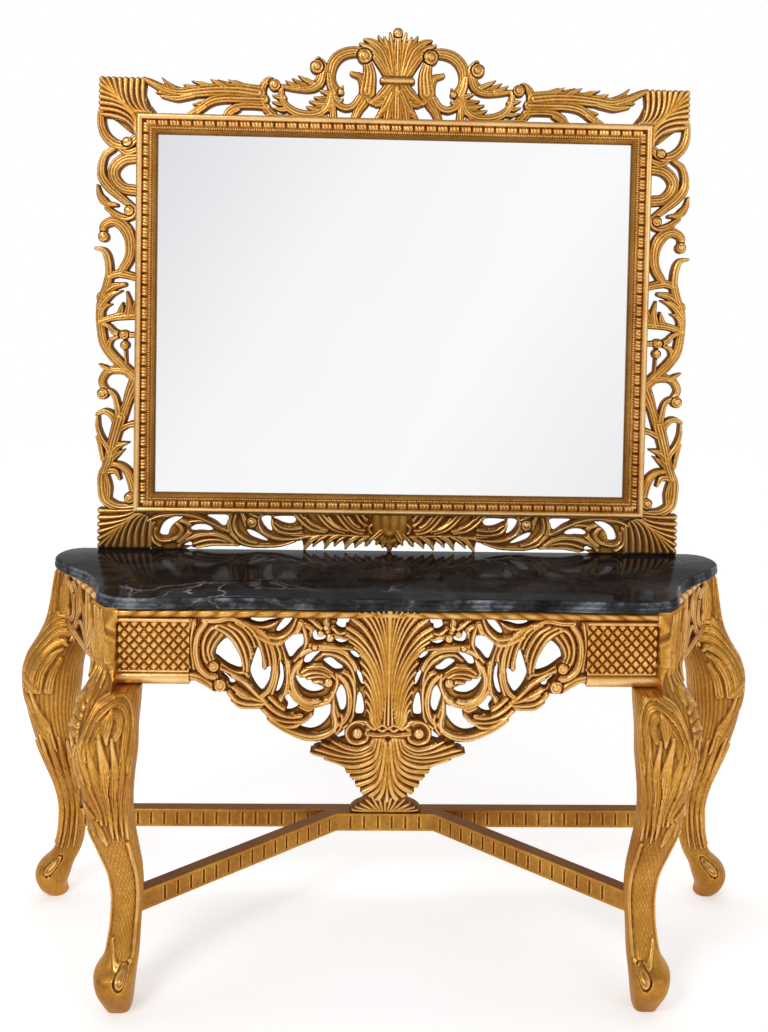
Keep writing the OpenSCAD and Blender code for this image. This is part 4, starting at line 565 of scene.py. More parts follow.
def smooth_line(points, step):
    """A smooth line through the points, cut to equal steps, with each cut's share of the points."""
    p = np.array(points, float)
    p = np.vstack([2 * p[0] - p[1], p, 2 * p[-1] - p[-2]])
    share = np.linspace(0, 1, 12, endpoint=False)[:, None]
    spans = []
    for a, b, c, d in zip(p[:-3], p[1:-2], p[2:-1], p[3:]):
        spans.append(0.5 * (2 * b + (c - a) * share + (2 * a - 5 * b + 4 * c - d) * share ** 2
                            + (3 * b - a - 3 * c + d) * share ** 3))
    dense = np.vstack(spans + [p[-2][None]])
    reach = np.concatenate([[0], np.cumsum(np.linalg.norm(np.diff(dense, axis=0), axis=1))])
    cuts = np.linspace(0, reach[-1], max(4, int(round(reach[-1] / step))) + 1)
    line = np.stack([np.interp(cuts, reach, dense[:, k]) for k in range(p.shape[1])], 1)
    return line, np.interp(cuts, reach, np.linspace(0, 1, len(dense)))


def board(back_y):
    """Places carving on an upright board whose back is at back_y."""
    def place(flat, height):
        return np.stack([flat[..., 0], back_y - height, flat[..., 1]], -1)
    return place


def side_board(flat, height):
    """Places carving on the left side apron, which runs from the front leg to the back leg."""
    along = (SIDE_END - SIDE_START) / np.linalg.norm(SIDE_END - SIDE_START)
    out = np.array((-along[1], along[0]))
    ground = SIDE_START + flat[..., :1] * along + (height[..., None] - SIDE_T / 2) * out
    return np.stack([ground[..., 0], ground[..., 1], flat[..., 1]], -1)


def above(place, floor_z):
    """The same place, but nothing goes below floor_z."""
    def kept(flat, height):
        spot = place(flat, height)
        spot[..., 2] = np.maximum(spot[..., 2], floor_z)
        return spot
    return kept


def both_halves(half):
    """A closed outline from its left or right half, whose ends at x = 0 aren't doubled."""
    return half + [[-x, z] for x, z in reversed(half) if x]


ON_WALL = above(board(WALL_Y), TABLE_H + MARBLE_GAP)


def flipped(strokes):
    return [[widths, [[-x, z] for x, z in points]] for widths, points in strokes]


def flipped_bosses(bosses):
    return [[radius, [-x, z]] for radius, (x, z) in bosses]


class Relief:
    """A carved panel as a map of heights over its back, on a fine grid of x and z."""

    def __init__(self, low, high, cell=1.25, layered=False):
        self.cell = cell
        self.layered = layered
        self.x, self.z = np.meshgrid(np.arange(low[0], high[0] + cell, cell),
                                     np.arange(low[1], high[1] + cell, cell), indexing='ij')
        self.inside = np.full(self.x.shape, FAR_OUT)
        self.height = np.zeros(self.x.shape)

    def window(self, spots, margin):
        """The part of the grid near the points, as slices and as flat (x, z) points."""
        low, high = np.min(spots, 0) - margin, np.max(spots, 0) + margin
        i = np.searchsorted(self.x[:, 0], (low[0], high[0]))
        j = np.searchsorted(self.z[0], (low[1], high[1]))
        part = (slice(*i), slice(*j))
        return part, np.stack([self.x[part], self.z[part]], -1)

    def depth(self, outline):
        """How far each point of the grid lies inside the outline."""
        return depth_in(np.stack([self.x, self.z], -1), outline)

    def merge(self, part, inside, height):
        """Adds a form to a part of the grid: layered, it hides what is below, else the higher one stays."""
        near = inside > (0 if self.layered else -1.5 * self.cell)
        top = height if self.layered else np.maximum(self.height[part], height)
        self.height[part] = np.where(near, top, self.height[part])
        self.inside[part] = np.maximum(self.inside[part], inside)

    def plate(self, outline, height):
        """A flat ground inside the outline."""
        part, spots = self.window(outline, 4)
        self.merge(part, depth_in(spots, outline), height)

    def hole(self, outline):
        """A pierced hole with softened edges."""
        part, spots = self.window(outline, 9)
        depth = depth_in(spots, outline)
        self.inside[part] = np.minimum(self.inside[part], -depth)
        self.height[part] -= HOLE_DROP * np.exp(-np.maximum(-depth, 0) / HOLE_W)

    def keep(self, inside):
        """Cuts the panel back to where inside is above 0."""
        self.inside = np.minimum(self.inside, inside)

    def strand(self, widths, points, thick, drop=0.0, flutes=0, most=None):
        """A rounded ribbon with flutes along it and rounded ends; most is how far its edges may dip."""
        line, share = smooth_line(points, 1.0)
        width = np.interp(share, (0.0, 0.5, 1.0), widths)
        part, spots = self.window(line, max(widths) / 2 + 3)
        ahead = np.gradient(line, axis=0)
        ahead /= np.linalg.norm(ahead, axis=1)[:, None]
        flat = spots.reshape(-1, 2)
        gap = ((flat[:, None] - line[None]) ** 2).sum(2)
        nearest = gap.argmin(1)
        away = flat - line[nearest]
        side = away[:, 1] * ahead[nearest, 0] - away[:, 0] * ahead[nearest, 1]
        past = (nearest == 0) | (nearest == len(line) - 1)
        reach = np.where(past, np.sqrt(gap.min(1)), np.abs(side))
        half = np.maximum(width[nearest] / 2, 0.6)
        u = np.clip(reach / half, 0, 1)
        count = flutes or int(min(4, max(1, round(max(widths) / 8.0))))
        signed = u * np.where(side > 0, 1, -1)
        ridge = np.abs(np.sin(math.pi * count * (signed + 1) / 2)) ** 0.8
        dome = np.sqrt(1 - (0.94 * u) ** 2)
        rise = np.minimum(half, most or carving().rise)
        groove = np.minimum((0.45 if self.layered else 0.36) * 2 * half / count, carving().groove)
        height = thick - drop - rise * (1 - dome) - groove * (1 - ridge)
        self.merge(part, (half - reach).reshape(spots.shape[:2]), height.reshape(spots.shape[:2]))

    def boss(self, radius, centre, thick):
        """The eye of a scroll: a low dome with a spiral cut, and a cut round it."""
        part, spots = self.window([centre], radius + 4)
        away = spots - centre
        reach = np.linalg.norm(away, axis=2)
        u = np.clip(reach / radius, 0, 1)
        phase = (1.7 * u - np.arctan2(away[..., 1], away[..., 0]) / (2 * math.pi)) % 1
        spiral = np.exp(-(np.minimum(phase, 1 - phase) / 0.17) ** 2) * np.clip(u * 4 - 0.8, 0, 1)
        height = thick + 0.5 - 0.55 * radius * (1 - np.sqrt(1 - (0.97 * u) ** 2)) - 0.17 * radius * spiral
        self.height[part] = np.where(np.abs(reach - radius) < 1.6,
                                     np.minimum(self.height[part], thick - 0.7 * radius), self.height[part])
        self.merge(part, radius - reach, np.where(reach < radius, height, 0))

    def carve(self, strokes, bosses, thick):
        """Carves all the strokes and the scroll eyes, with thick as the highest ridge's height."""
        for i, (widths, points) in enumerate(strokes):
            self.strand(widths, points, thick, drop=STROKE_DROPS[i % len(STROKE_DROPS)])
        for radius, centre in bosses:
            self.boss(radius, centre, thick)

    def blurred(self, radius):
        """The mean height round each point, inside the outline only."""
        solid = (self.inside > 0).astype(float)
        sums = []
        for field in (self.height * solid, solid):
            for axis in (0, 1):
                for _ in range(2):
                    n = max(1, int(round(radius / self.cell)))
                    margins = [(n + 1, n) if a == axis else (0, 0) for a in (0, 1)]
                    padded = np.pad(field, margins, mode='edge')
                    total = padded.cumsum(axis)
                    size = field.shape[axis]
                    field = (np.take(total, range(2 * n + 1, 2 * n + 1 + size), axis)
                             - np.take(total, range(0, size), axis)) / (2 * n + 1)
            sums.append(field)
        return sums[0] / np.maximum(sums[1], 0.05)

    def shades(self, height):
        """Patina with painted shade and highlights: dark in the cuts and wherever the face lies below its
        neighbours, light on the ridges.
        """
        return np.clip(0.55 + 0.24 * (height - self.blurred(2.5)) + 0.06 * (height - self.blurred(9.0)), 0, 1)

    def sample(self, field, x, z):
        """The field's values at any points, blended between its cells."""
        i = np.clip((x - self.x[0, 0]) / self.cell, 0, self.x.shape[0] - 1.001)
        j = np.clip((z - self.z[0, 0]) / self.cell, 0, self.x.shape[1] - 1.001)
        a, b = i.astype(int), j.astype(int)
        p, q = i - a, j - b
        low = (1 - p) * field[a, b] + p * field[a + 1, b]
        high = (1 - p) * field[a, b + 1] + p * field[a + 1, b + 1]
        return (1 - q) * low + q * high

    def shape(self, place):
        """The panel as a closed mesh: its carved face, and walls down to its flat back."""
        inside = self.inside
        solid = (inside[:-1, :-1] + inside[1:, :-1] + inside[1:, 1:] + inside[:-1, 1:]) > 0
        solid[[0, -1]] = False
        solid[:, [0, -1]] = False
        for _ in range(2):
            slash = solid[:-1, :-1] & solid[1:, 1:] & ~solid[1:, :-1] & ~solid[:-1, 1:]
            other = solid[1:, :-1] & solid[:-1, 1:] & ~solid[:-1, :-1] & ~solid[1:, 1:]
            solid[1:, :-1] |= slash
            solid[:-1, :-1] |= other
        padded = np.pad(solid, 1).astype(int)
        uses = padded[:-1, :-1] + padded[1:, :-1] + padded[1:, 1:] + padded[:-1, 1:]
        edge = (uses > 0) & (uses < 4)
        slope_x, slope_z = np.gradient(inside, self.cell)
        size = np.maximum(slope_x ** 2 + slope_z ** 2, 0.2)
        limit = 0.7 * self.cell
        x = self.x - np.where(edge, np.clip(inside * slope_x / size, -limit, limit), 0)
        z = self.z - np.where(edge, np.clip(inside * slope_z / size, -limit, limit), 0)
        rounded_edge = EDGE_DROP * np.clip(1 - np.maximum(inside, 0) / EDGE_W, 0, 1) ** 2
        height = np.maximum(self.height - rounded_edge, THINNEST)
        shade = self.shades(height)
        top = np.full(uses.shape, -1)
        top[uses > 0] = np.arange((uses > 0).sum())
        low = np.full(uses.shape, -1)
        low[edge] = np.arange(edge.sum()) + (uses > 0).sum()
        i, j = np.nonzero(solid)
        faces = [np.stack([top[i, j], top[i + 1, j], top[i + 1, j + 1], top[i, j + 1]], 1)]
        for di, dj, a, b in ((-1, 0, (0, 0), (0, 1)), (1, 0, (1, 1), (1, 0)), (0, -1, (1, 0), (0, 0)),
                             (0, 1, (0, 1), (1, 1))):
            bare = padded[i + 1 + di, j + 1 + dj] == 0
            p, q = i[bare], j[bare]
            faces.append(np.stack([top[p + b[0], q + b[1]], top[p + a[0], q + a[1]],
                                   low[p + a[0], q + a[1]], low[p + b[0], q + b[1]]], 1)[:, ::-1])
        used = uses > 0
        flat = np.stack([np.concatenate([x[used], x[edge]]), np.concatenate([z[used], z[edge]])], 1)
        tall = np.concatenate([height[used], np.zeros(edge.sum())])
        # The walls fall to 0 towards the flat back: painted shade on the sides of the cuts and holes
        tone = np.concatenate([shade[used], np.zeros(edge.sum())])
        made = Shape()
        made.add(place(flat, tall), tone, list(np.vstack(faces)))
        return made


def depth_in(spots, outline):
    """How far each point lies inside the closed outline; outside it is negative."""
    corners = np.array(outline, float)
    flat = spots.reshape(-1, 2)
    a, b = corners, np.roll(corners, -1, 0)
    side = b - a
    gap = flat[:, None] - a[None]
    along = np.clip((gap * side).sum(2) / np.maximum((side ** 2).sum(1), 1e-9), 0, 1)
    reach = np.sqrt(((gap - along[..., None] * side) ** 2).sum(2).min(1))
    above_a, above_b = a[None, :, 1] > flat[:, None, 1], b[None, :, 1] > flat[:, None, 1]
    with np.errstate(divide='ignore', invalid='ignore'):
        cross = a[None, :, 0] + (flat[:, None, 1] - a[None, :, 1]) * side[None, :, 0] / side[None, :, 1]
    hits = ((above_a != above_b) & (flat[:, None, 0] < cross)).sum(1) % 2 == 1
    return np.where(hits, reach, -reach).reshape(spots.shape[:2])


def rounded_outline(points):
    """A smooth closed line through the points."""
    loop, _ = smooth_line(points[-2:] + points + points[:2], 2.0)
    start = np.argmin(((loop[:len(loop) // 2] - points[0]) ** 2).sum(1))
    rest = loop[start + 3:]
    stop = start + 3 + np.argmin(((rest - points[0]) ** 2).sum(1))
    return loop[start:stop]


def close_back(piece):
    """Fills the panel's flat back."""
    only(piece)
    bpy.ops.object.mode_set(mode='EDIT')
    bpy.ops.mesh.select_mode(type='EDGE')
    bpy.ops.mesh.select_all(action='DESELECT')
    bpy.ops.mesh.select_non_manifold(extend=False, use_wire=False, use_boundary=True,
                                     use_multi_face=False, use_non_contiguous=False, use_verts=False)
    bpy.ops.mesh.fill(use_beauty=False)
    bpy.ops.mesh.select_mode(type='VERT')
    bpy.ops.object.mode_set(mode='OBJECT')


def panel_piece(relief, place, name, mirrored, nodes):
    """Makes a carved panel's piece, closes its back and gilds it."""
    piece = relief.shape(place).piece(name, mirrored)
    close_back(piece)
    gild(piece, nodes, 60)


def spread_along(points, share):
    """Points at the given shares of the length of an open line."""
    line = np.array(points, float)
    reach = np.concatenate([[0], np.cumsum(np.linalg.norm(np.diff(line, axis=0), axis=1))])
    return np.stack([np.interp(share * reach[-1], reach, line[:, k]) for k in (0, 1)], 1)


def shell_ribs(rim, base, count):
    """A shell's ribs: each leaves the rim squarely and bends to its place at the frame's corner."""
    share = (np.arange(count) + 0.5) / count
    tips, feet = spread_along(rim, share), spread_along(base, share)
    along = np.diff(tips, axis=0)[[0, -1]]
    turn = np.unwrap(np.arctan2(along[:, 0], -along[:, 1]))
    steps = np.linalg.norm(np.diff(rim, axis=0), axis=1)
    way = np.clip((share - steps[:-1].sum() / steps.sum()) / 0.7 + 0.5, 0, 1)
    turn = turn[0] + (turn[1] - turn[0]) * way * way * (3 - 2 * way)
    bow = 0.78
    middle = (tips + np.stack([np.cos(turn), np.sin(turn)], 1) * bow
              * np.linalg.norm(tips - feet, axis=1)[:, None])
    t = np.linspace(0, 1, 6)[:, None, None]
    return ((1 - t) ** 2 * feet + 2 * t * (1 - t) * middle + t * t * tips).transpose(1, 0, 2).tolist()


# ---------------------------------------------------------------- sizes and colours

class CarvingSizes(bpy.types.PropertyGroup):
    rise: FloatProperty(name="Crown", description="How far a strand's middle stands above its edges, in mm",
                        default=10, min=2, max=14)
    groove: FloatProperty(name="Flute depth", description="Depth of the flutes along a strand, in mm",
                          default=2.8, min=0.5, max=5)


class FinishColours(bpy.types.PropertyGroup):
    gold: FloatVectorProperty(name="Gold", description="Leaf on the ridges",
                              default=(0.68, 0.335, 0.050, 1), subtype='COLOR', size=4, min=0, max=1)
    # The recess colour is used wherever the tone is low, so it carries painted shade on walls and shaded
    # faces as well as the patina in the cuts
    recess: FloatVectorProperty(name="Recess", description="Brown patina in the cuts",
                                default=(0.21, 0.073, 0.006, 1), subtype='COLOR', size=4, min=0, max=1)
    marble: FloatVectorProperty(name="Marble", description="Ground of the marble",
                                default=(0.011, 0.0095, 0.010, 1), subtype='COLOR', size=4, min=0, max=1)
    vein: FloatVectorProperty(name="Vein", description="Thin veins of the marble",
                              default=(0.36, 0.35, 0.35, 1), subtype='COLOR', size=4, min=0, max=1)


class StageSizes(bpy.types.PropertyGroup):
    key_power: FloatProperty(name="Key light", description="Power of the large light at the upper left",
                             default=60, min=0, max=500, subtype='POWER')


def carving():
    return bpy.context.scene.console_carving


def colours():
    return bpy.context.scene.console_colours


# ---------------------------------------------------------------- finishes

def new_group(name, inputs, outputs):
    group = bpy.data.node_groups.new(name, 'ShaderNodeTree')
    for label, kind, default in inputs:
        socket = group.interface.new_socket(name=label, in_out='INPUT', socket_type=kind)
        socket.default_value = default
    for label, kind in outputs:
        group.interface.new_socket(name=label, in_out='OUTPUT', socket_type=kind)
    return group, group.nodes.new('NodeGroupInput'), group.nodes.new('NodeGroupOutput')


def node(tree, kind, settings=(), inputs=()):
    made = tree.nodes.new(kind)
    for name, value in dict(settings).items():
        setattr(made, name, value)
    for name, value in dict(inputs).items():
        made.inputs[name].default_value = value
    return made


def ramp(tree, source, stops, output='Color'):
    made = tree.nodes.new('ShaderNodeValToRGB')
    elements = made.color_ramp.elements
    while len(elements) < len(stops):
        elements.new(0.5)
    for element, (place, colour) in zip(elements, stops):
        element.position = place
        element.color = colour if len(colour) == 4 else (*colour, 1)
    tree.links.new(source, made.inputs['Fac'])
    return made.outputs[output]


def grey(value):
    return (value, value, value, 1)


def maths(tree, operation, a, b):
    made = node(tree, 'ShaderNodeMath', {'operation': operation})
    for socket, value in zip(made.inputs, (a, b)):
        if isinstance(value, (int, float)):
            socket.default_value = value
        else:
            tree.links.new(value, socket)
    return made.outputs[0]


def blend_colours(tree, factor, a, b, mode='MIX'):
    made = node(tree, 'ShaderNodeMix', {'data_type': 'RGBA', 'blend_type': mode})
    for socket, value in zip((made.inputs[0], made.inputs[6], made.inputs[7]), (factor, a, b)):
        if isinstance(value, (int, float, tuple)):
            socket.default_value = value
        else:
            tree.links.new(value, socket)
    return made.outputs[2]


def object_space(tree):
    return node(tree, 'ShaderNodeTexCoord').outputs['Object']


def noise(tree, where, scale, detail=4.0, rough=0.55, output='Fac'):
    made = node(tree, 'ShaderNodeTexNoise', (), {'Scale': scale, 'Detail': detail, 'Roughness': rough})
    tree.links.new(where, made.inputs['Vector'])
    return made.outputs[output]


def spread(tree, value, pattern, amount):
    """The value, raised and lowered by a pattern that runs round 0.5."""
    return maths(tree, 'ADD', value, maths(tree, 'MULTIPLY', maths(tree, 'SUBTRACT', pattern, 0.5), amount))


def gilding_group():
    """Gold leaf over carved wood: brown glaze and painted shade in the cuts, a painted highlight on the
    ridges, small rubbed spots.
    """
    group, given, result = new_group(
        "Antique gilding",
        [("Relief", 'NodeSocketFloat', 0.7), ("Gold", 'NodeSocketColor', (0.8, 0.5, 0.2, 1)),
         ("Recess", 'NodeSocketColor', (0.1, 0.04, 0.01, 1))],
        [("Color", 'NodeSocketColor'), ("Roughness", 'NodeSocketFloat'), ("Metallic", 'NodeSocketFloat'),
         ("Height", 'NodeSocketFloat')])
    where = object_space(group)
    broad = noise(group, where, 9.0, 3.0)
    fine = noise(group, where, 120.0, 5.0, 0.65)
    grain = noise(group, where, 420.0, 3.0)
    # The piece's tone, which carries patina, painted shade and painted highlights, with rubbed spots added
    patina_wear_and_shade = spread(group, given.outputs['Relief'], fine, 0.55)
    patina_wear_and_shade = spread(group, patina_wear_and_shade, broad, 0.35)
    mask = ramp(group, patina_wear_and_shade, [(0.08, grey(0)), (0.36, grey(0.36)), (0.72, grey(1))])
    tone = blend_colours(group, mask, given.outputs['Recess'], given.outputs['Gold'])
    # A lighter, yellower gold on the highest ridges: a painted highlight
    painted_highlight = ramp(group, patina_wear_and_shade, [(0.62, grey(0)), (1.05, grey(0.7))])
    tone = blend_colours(group, painted_highlight, tone, (0.96, 0.68, 0.33, 1))
    warm = ramp(group, broad, [(0.35, (0.82, 0.66, 0.52)), (0.60, (1.0, 1.0, 1.0))])
    tone = blend_colours(group, 0.6, tone, warm, 'MULTIPLY')
    group.links.new(tone, result.inputs['Color'])
    rough = ramp(group, patina_wear_and_shade, [(0.1, grey(0.60)), (0.8, grey(0.30))])
    group.links.new(spread(group, rough, fine, 0.18), result.inputs['Roughness'])
    metal = ramp(group, mask, [(0.1, grey(0.6)), (0.8, grey(0.88))])
    group.links.new(metal, result.inputs['Metallic'])
    bumps = maths(group, 'ADD', maths(group, 'MULTIPLY', fine, 0.7), maths(group, 'MULTIPLY', grain, 0.3))
    group.links.new(bumps, result.inputs['Height'])
    return group


def start_material(name, base, roughness, metallic=0.0):
    material = bpy.data.materials.new(name)
    material.use_nodes = True
    shader = material.node_tree.nodes['Principled BSDF']
    shader.inputs['Base Color'].default_value = base
    shader.inputs['Roughness'].default_value = roughness
    shader.inputs['Metallic'].default_value = metallic
    return material, material.node_tree, shader


def bump(tree, shader, height, distance, strength):
    made = node(tree, 'ShaderNodeBump', (), {'Strength': strength, 'Distance': distance})
    tree.links.new(height, made.inputs['Height'])
    tree.links.new(made.outputs['Normal'], shader.inputs['Normal'])


def gilt_material():
    gold = tuple(colours().gold)
    group = gilding_group()
    material, tree, shader = start_material("Carved gilt", gold, 0.4, 0.7)
    effect = tree.nodes.new('ShaderNodeGroup')
    effect.node_tree = group
    effect.inputs['Gold'].default_value = gold
    effect.inputs['Recess'].default_value = tuple(colours().recess)
    # The piece's tone: patina with painted shade and painted highlights
    relief = node(tree, 'ShaderNodeAttribute', {'attribute_name': "relief"})
    tree.links.new(relief.outputs['Fac'], effect.inputs['Relief'])
    for output, socket in (('Color', 'Base Color'), ('Roughness', 'Roughness'), ('Metallic', 'Metallic')):
        tree.links.new(effect.outputs[output], shader.inputs[socket])
    bump(tree, shader, effect.outputs['Height'], 0.0012, 0.5)
    return material


def marble_material():
    material, tree, shader = start_material("Black marble", tuple(colours().marble), 0.1)
    where = object_space(tree)
    bent = node(tree, 'ShaderNodeVectorMath', {'operation': 'ADD'})
    wander = node(tree, 'ShaderNodeVectorMath', {'operation': 'SCALE'}, {'Scale': 0.22})
    tree.links.new(noise(tree, where, 3.2, 5.0, 0.6, 'Color'), wander.inputs[0])
    tree.links.new(where, bent.inputs[0])
    tree.links.new(wander.outputs[0], bent.inputs[1])
    masks = []
    for scale, low in ((3.1, 0.012), (7.3, 0.02)):
        cells = node(tree, 'ShaderNodeTexVoronoi', {'feature': 'DISTANCE_TO_EDGE'}, {'Scale': scale})
        tree.links.new(bent.outputs[0], cells.inputs['Vector'])
        masks.append(ramp(tree, cells.outputs['Distance'], [(0.0, grey(1)), (low, grey(0.0))]))
    patch = ramp(tree, noise(tree, where, 4.0, 3.0), [(0.54, grey(0)), (0.74, grey(1))])
    veins = maths(tree, 'MULTIPLY', maths(tree, 'MAXIMUM', masks[0], masks[1]), patch)
    clouds = ramp(tree, noise(tree, bent.outputs[0], 6.0, 6.0, 0.7), [(0.45, grey(0)), (0.8, grey(0.15))])
    mix = maths(tree, 'MAXIMUM', veins, clouds)
    tone = blend_colours(tree, mix, tuple(colours().marble), tuple(colours().vein))
    # Upright faces turn streaky and lighter blue-grey: a painted sheen of reflected light on the slab's edge,
    # over the marble's own streaks
    facing = node(tree, 'ShaderNodeSeparateXYZ')
    tree.links.new(node(tree, 'ShaderNodeNewGeometry').outputs['Normal'], facing.inputs[0])
    upright = ramp(tree, maths(tree, 'ABSOLUTE', facing.outputs['Z'], 0),
                   [(0.2, grey(0.4)), (0.45, grey(1)), (0.85, grey(1)), (0.97, grey(0))])
    edge_streaks_and_sheen = ramp(tree, noise(tree, bent.outputs[0], 11.0, 6.0, 0.7),
                   [(0.38, (0.012, 0.012, 0.013)), (0.5, (0.05, 0.053, 0.058)), (0.64, (0.27, 0.29, 0.32))])
    tone = blend_colours(tree, upright, tone, edge_streaks_and_sheen)
    tree.links.new(tone, shader.inputs['Base Color'])
    rough = ramp(tree, veins, [(0.0, grey(0.10)), (1.0, grey(0.22))])
    tree.links.new(rough, shader.inputs['Roughness'])
    shader.inputs['Specular IOR Level'].default_value = 0.01
    return material


def mirror_material():
    material, tree, shader = start_material("Silvered glass", (0.93, 0.935, 0.95, 1), 0.01, 1.0)
    where = object_space(tree)
    haze = ramp(tree, noise(tree, where, 14.0, 4.0), [(0.3, grey(0.006)), (0.8, grey(0.02))])
    tree.links.new(haze, shader.inputs['Roughness'])
    tint = ramp(tree, noise(tree, where, 1.5, 2.0),
                [(0.3, (0.925, 0.93, 0.945)), (0.7, (0.945, 0.945, 0.955))])
    tree.links.new(tint, shader.inputs['Base Color'])
    return material


def wood_material():
    material, tree, shader = start_material("Bare wood", (0.42, 0.27, 0.14, 1), 0.7)
    where = object_space(tree)
    stretch = node(tree, 'ShaderNodeMapping')
    stretch.inputs['Scale'].default_value = (1.2, 14, 14)
    tree.links.new(where, stretch.inputs['Vector'])
    rings = noise(tree, stretch.outputs[0], 5.0, 6.0, 0.6)
    pores = noise(tree, stretch.outputs[0], 60.0, 2.0)
    tone = ramp(tree, rings,
                [(0.35, (0.24, 0.14, 0.065)), (0.5, (0.40, 0.26, 0.13)), (0.68, (0.50, 0.34, 0.19))])
    dark = ramp(tree, pores, [(0.55, grey(0)), (0.75, grey(0.5))])
    tone = blend_colours(tree, dark, tone, (0.16, 0.09, 0.04, 1))
    tree.links.new(tone, shader.inputs['Base Color'])
    tree.links.new(ramp(tree, rings, [(0.3, grey(0.78)), (0.7, grey(0.6))]), shader.inputs['Roughness'])
    bump(tree, shader, rings, 0.0008, 0.4)
    return material


def steel_material():
    material, tree, shader = start_material("Zinc plated steel", (0.62, 0.61, 0.58, 1), 0.35, 0.95)
    where = object_space(tree)
    spangle = noise(tree, where, 300.0, 2.0)
    tree.links.new(ramp(tree, spangle, [(0.3, (0.50, 0.49, 0.46)), (0.7, (0.70, 0.69, 0.66))]),
                   shader.inputs['Base Color'])
    tree.links.new(ramp(tree, spangle, [(0.3, grey(0.28)), (0.7, grey(0.5))]), shader.inputs['Roughness'])
    return material


def finish(name):
    """The finish of that name, made on its first use."""
    makers = {
        "Carved gilt": gilt_material,
        "Black marble": marble_material,
        "Silvered glass": mirror_material,
        "Bare wood": wood_material,
        "Zinc plated steel": steel_material,
    }
    return bpy.data.materials.get(name) or makers[name]()


def recolour(nodes, material):
    """Gives CAD nodes whose shape is right a better finish."""
    for name in nodes:
        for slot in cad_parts[name].material_slots:
            slot.material = finish(material)


# ---------------------------------------------------------------- operators

class CONSOLE_OT_stage(bpy.types.Operator):
    """Lays the pale floor and sets the soft studio light and the camera"""
    bl_idname = "console.stage"
    bl_label = "Stage"

    def execute(self, context):
        bpy.ops.object.select_all(action='DESELECT')
        bpy.ops.mesh.primitive_plane_add(size=1, location=(0, 0, 0))
        floor = context.object
        floor.name = "studio_floor"
        for corner in floor.data.vertices:
            corner.co = Vector((corner.co.x * FLOOR_W, FLOOR_FRONT if corner.co.y < 0 else FLOOR_BACK, 0))
        material, tree, shader = start_material("Studio floor", (0.9, 0.9, 0.9, 1), 0.85)
        where = object_space(tree)
        tree.links.new(ramp(tree, noise(tree, where, 2.0), [(0.2, grey(0.90)), (0.8, grey(0.93))]),
                       shader.inputs['Base Color'])
        shader.inputs['Emission Color'].default_value = (1, 1, 1, 1)
        shader.inputs['Emission Strength'].default_value = 0.35
        floor.data.materials.append(material)

        world = bpy.data.worlds.new("Studio")
        context.scene.world = world
        world.use_nodes = True
        tree = world.node_tree
        tree.nodes.clear()
        ray = node(tree, 'ShaderNodeTexCoord').outputs['Generated']
        parts = tree.nodes.new('ShaderNodeSeparateXYZ')
        tree.links.new(ray, parts.inputs[0])
        slope = maths(tree, 'SUBTRACT', maths(tree, 'MULTIPLY', parts.outputs['X'], 0.9),
                      maths(tree, 'MULTIPLY', parts.outputs['Z'], 0.55))
        back = ramp(tree, maths(tree, 'ADD', maths(tree, 'MULTIPLY', slope, 0.9), 0.5),
                    [(0.2, (0.75, 0.75, 0.77)), (0.42, grey(0.98)), (0.6, grey(1.02)), (0.8, grey(0.88))])
        ahead = ramp(tree, maths(tree, 'MULTIPLY', parts.outputs['Y'], -1.0),
                     [(0.75, grey(0.40)), (0.9, grey(1))])
        back = blend_colours(tree, 1.0, back, ahead, 'MULTIPLY')
        front = ramp(tree, parts.outputs['Y'], [(0.0, grey(0)), (0.02, grey(1))])
        tone = blend_colours(tree, front, back, (1, 1, 1, 1))
        light = node(tree, 'ShaderNodeBackground', (), {'Strength': 1.0})
        tree.links.new(tone, light.inputs['Color'])
        out = tree.nodes.new('ShaderNodeOutputWorld')
        tree.links.new(light.outputs[0], out.inputs['Surface'])

        for name, place, aim, size, power in (
                ("key_light", (-2.2, -2.6, 3.4), (0, 0.1, 0.9), 1.6, context.scene.console_stage.key_power),
                ("fill_light", (2.6, -2.2, 2.0), (0, 0.1, 0.8), 2.0, 18)):
            bpy.ops.object.light_add(type='AREA', location=place)
            lamp = context.object
            lamp.name = name
            lamp.data.size = size
            lamp.data.energy = power
            lamp.rotation_euler = (Vector(aim) - Vector(place)).to_track_quat('-Z', 'Y').to_euler()

        bpy.ops.object.camera_add()
        camera = context.object
        camera.name = "photo_camera"
        flat = math.cos(CAMERA_PITCH)
        ahead = Vector((math.sin(CAMERA_YAW) * flat, math.cos(CAMERA_YAW) * flat, -math.sin(CAMERA_PITCH)))
        level = ahead.cross(Vector((0, 0, 1))).normalized()
        raised = level.cross(ahead)
        right = level * math.cos(CAMERA_ROLL) + raised * math.sin(CAMERA_ROLL)
        up = raised * math.cos(CAMERA_ROLL) - level * math.sin(CAMERA_ROLL)
        turn = Matrix((right, up, -ahead)).transposed().to_4x4()
        camera.matrix_world = Matrix.Translation(CAMERA_PLACE) @ turn
        camera.data.lens = LENS_PIXELS * SENSOR / PHOTO_H
        camera.data.sensor_width = SENSOR
        camera.data.shift_x = -(LENS_CENTRE[0] - PHOTO_W / 2) / PHOTO_H
        camera.data.shift_y = (LENS_CENTRE[1] - PHOTO_H / 2) / PHOTO_H
        camera.data.dof.use_dof = False
        context.scene.camera = camera
        context.scene.view_settings.view_transform = 'Standard'
        return {'FINISHED'}


def offset_loop(loop, inset):
    """The closed outline moved inwards."""
    ahead = np.roll(loop, -1, 0) - np.roll(loop, 1, 0)
    ahead /= np.linalg.norm(ahead, axis=1)[:, None]
    return loop + np.stack([-ahead[:, 1], ahead[:, 0]], 1) * inset


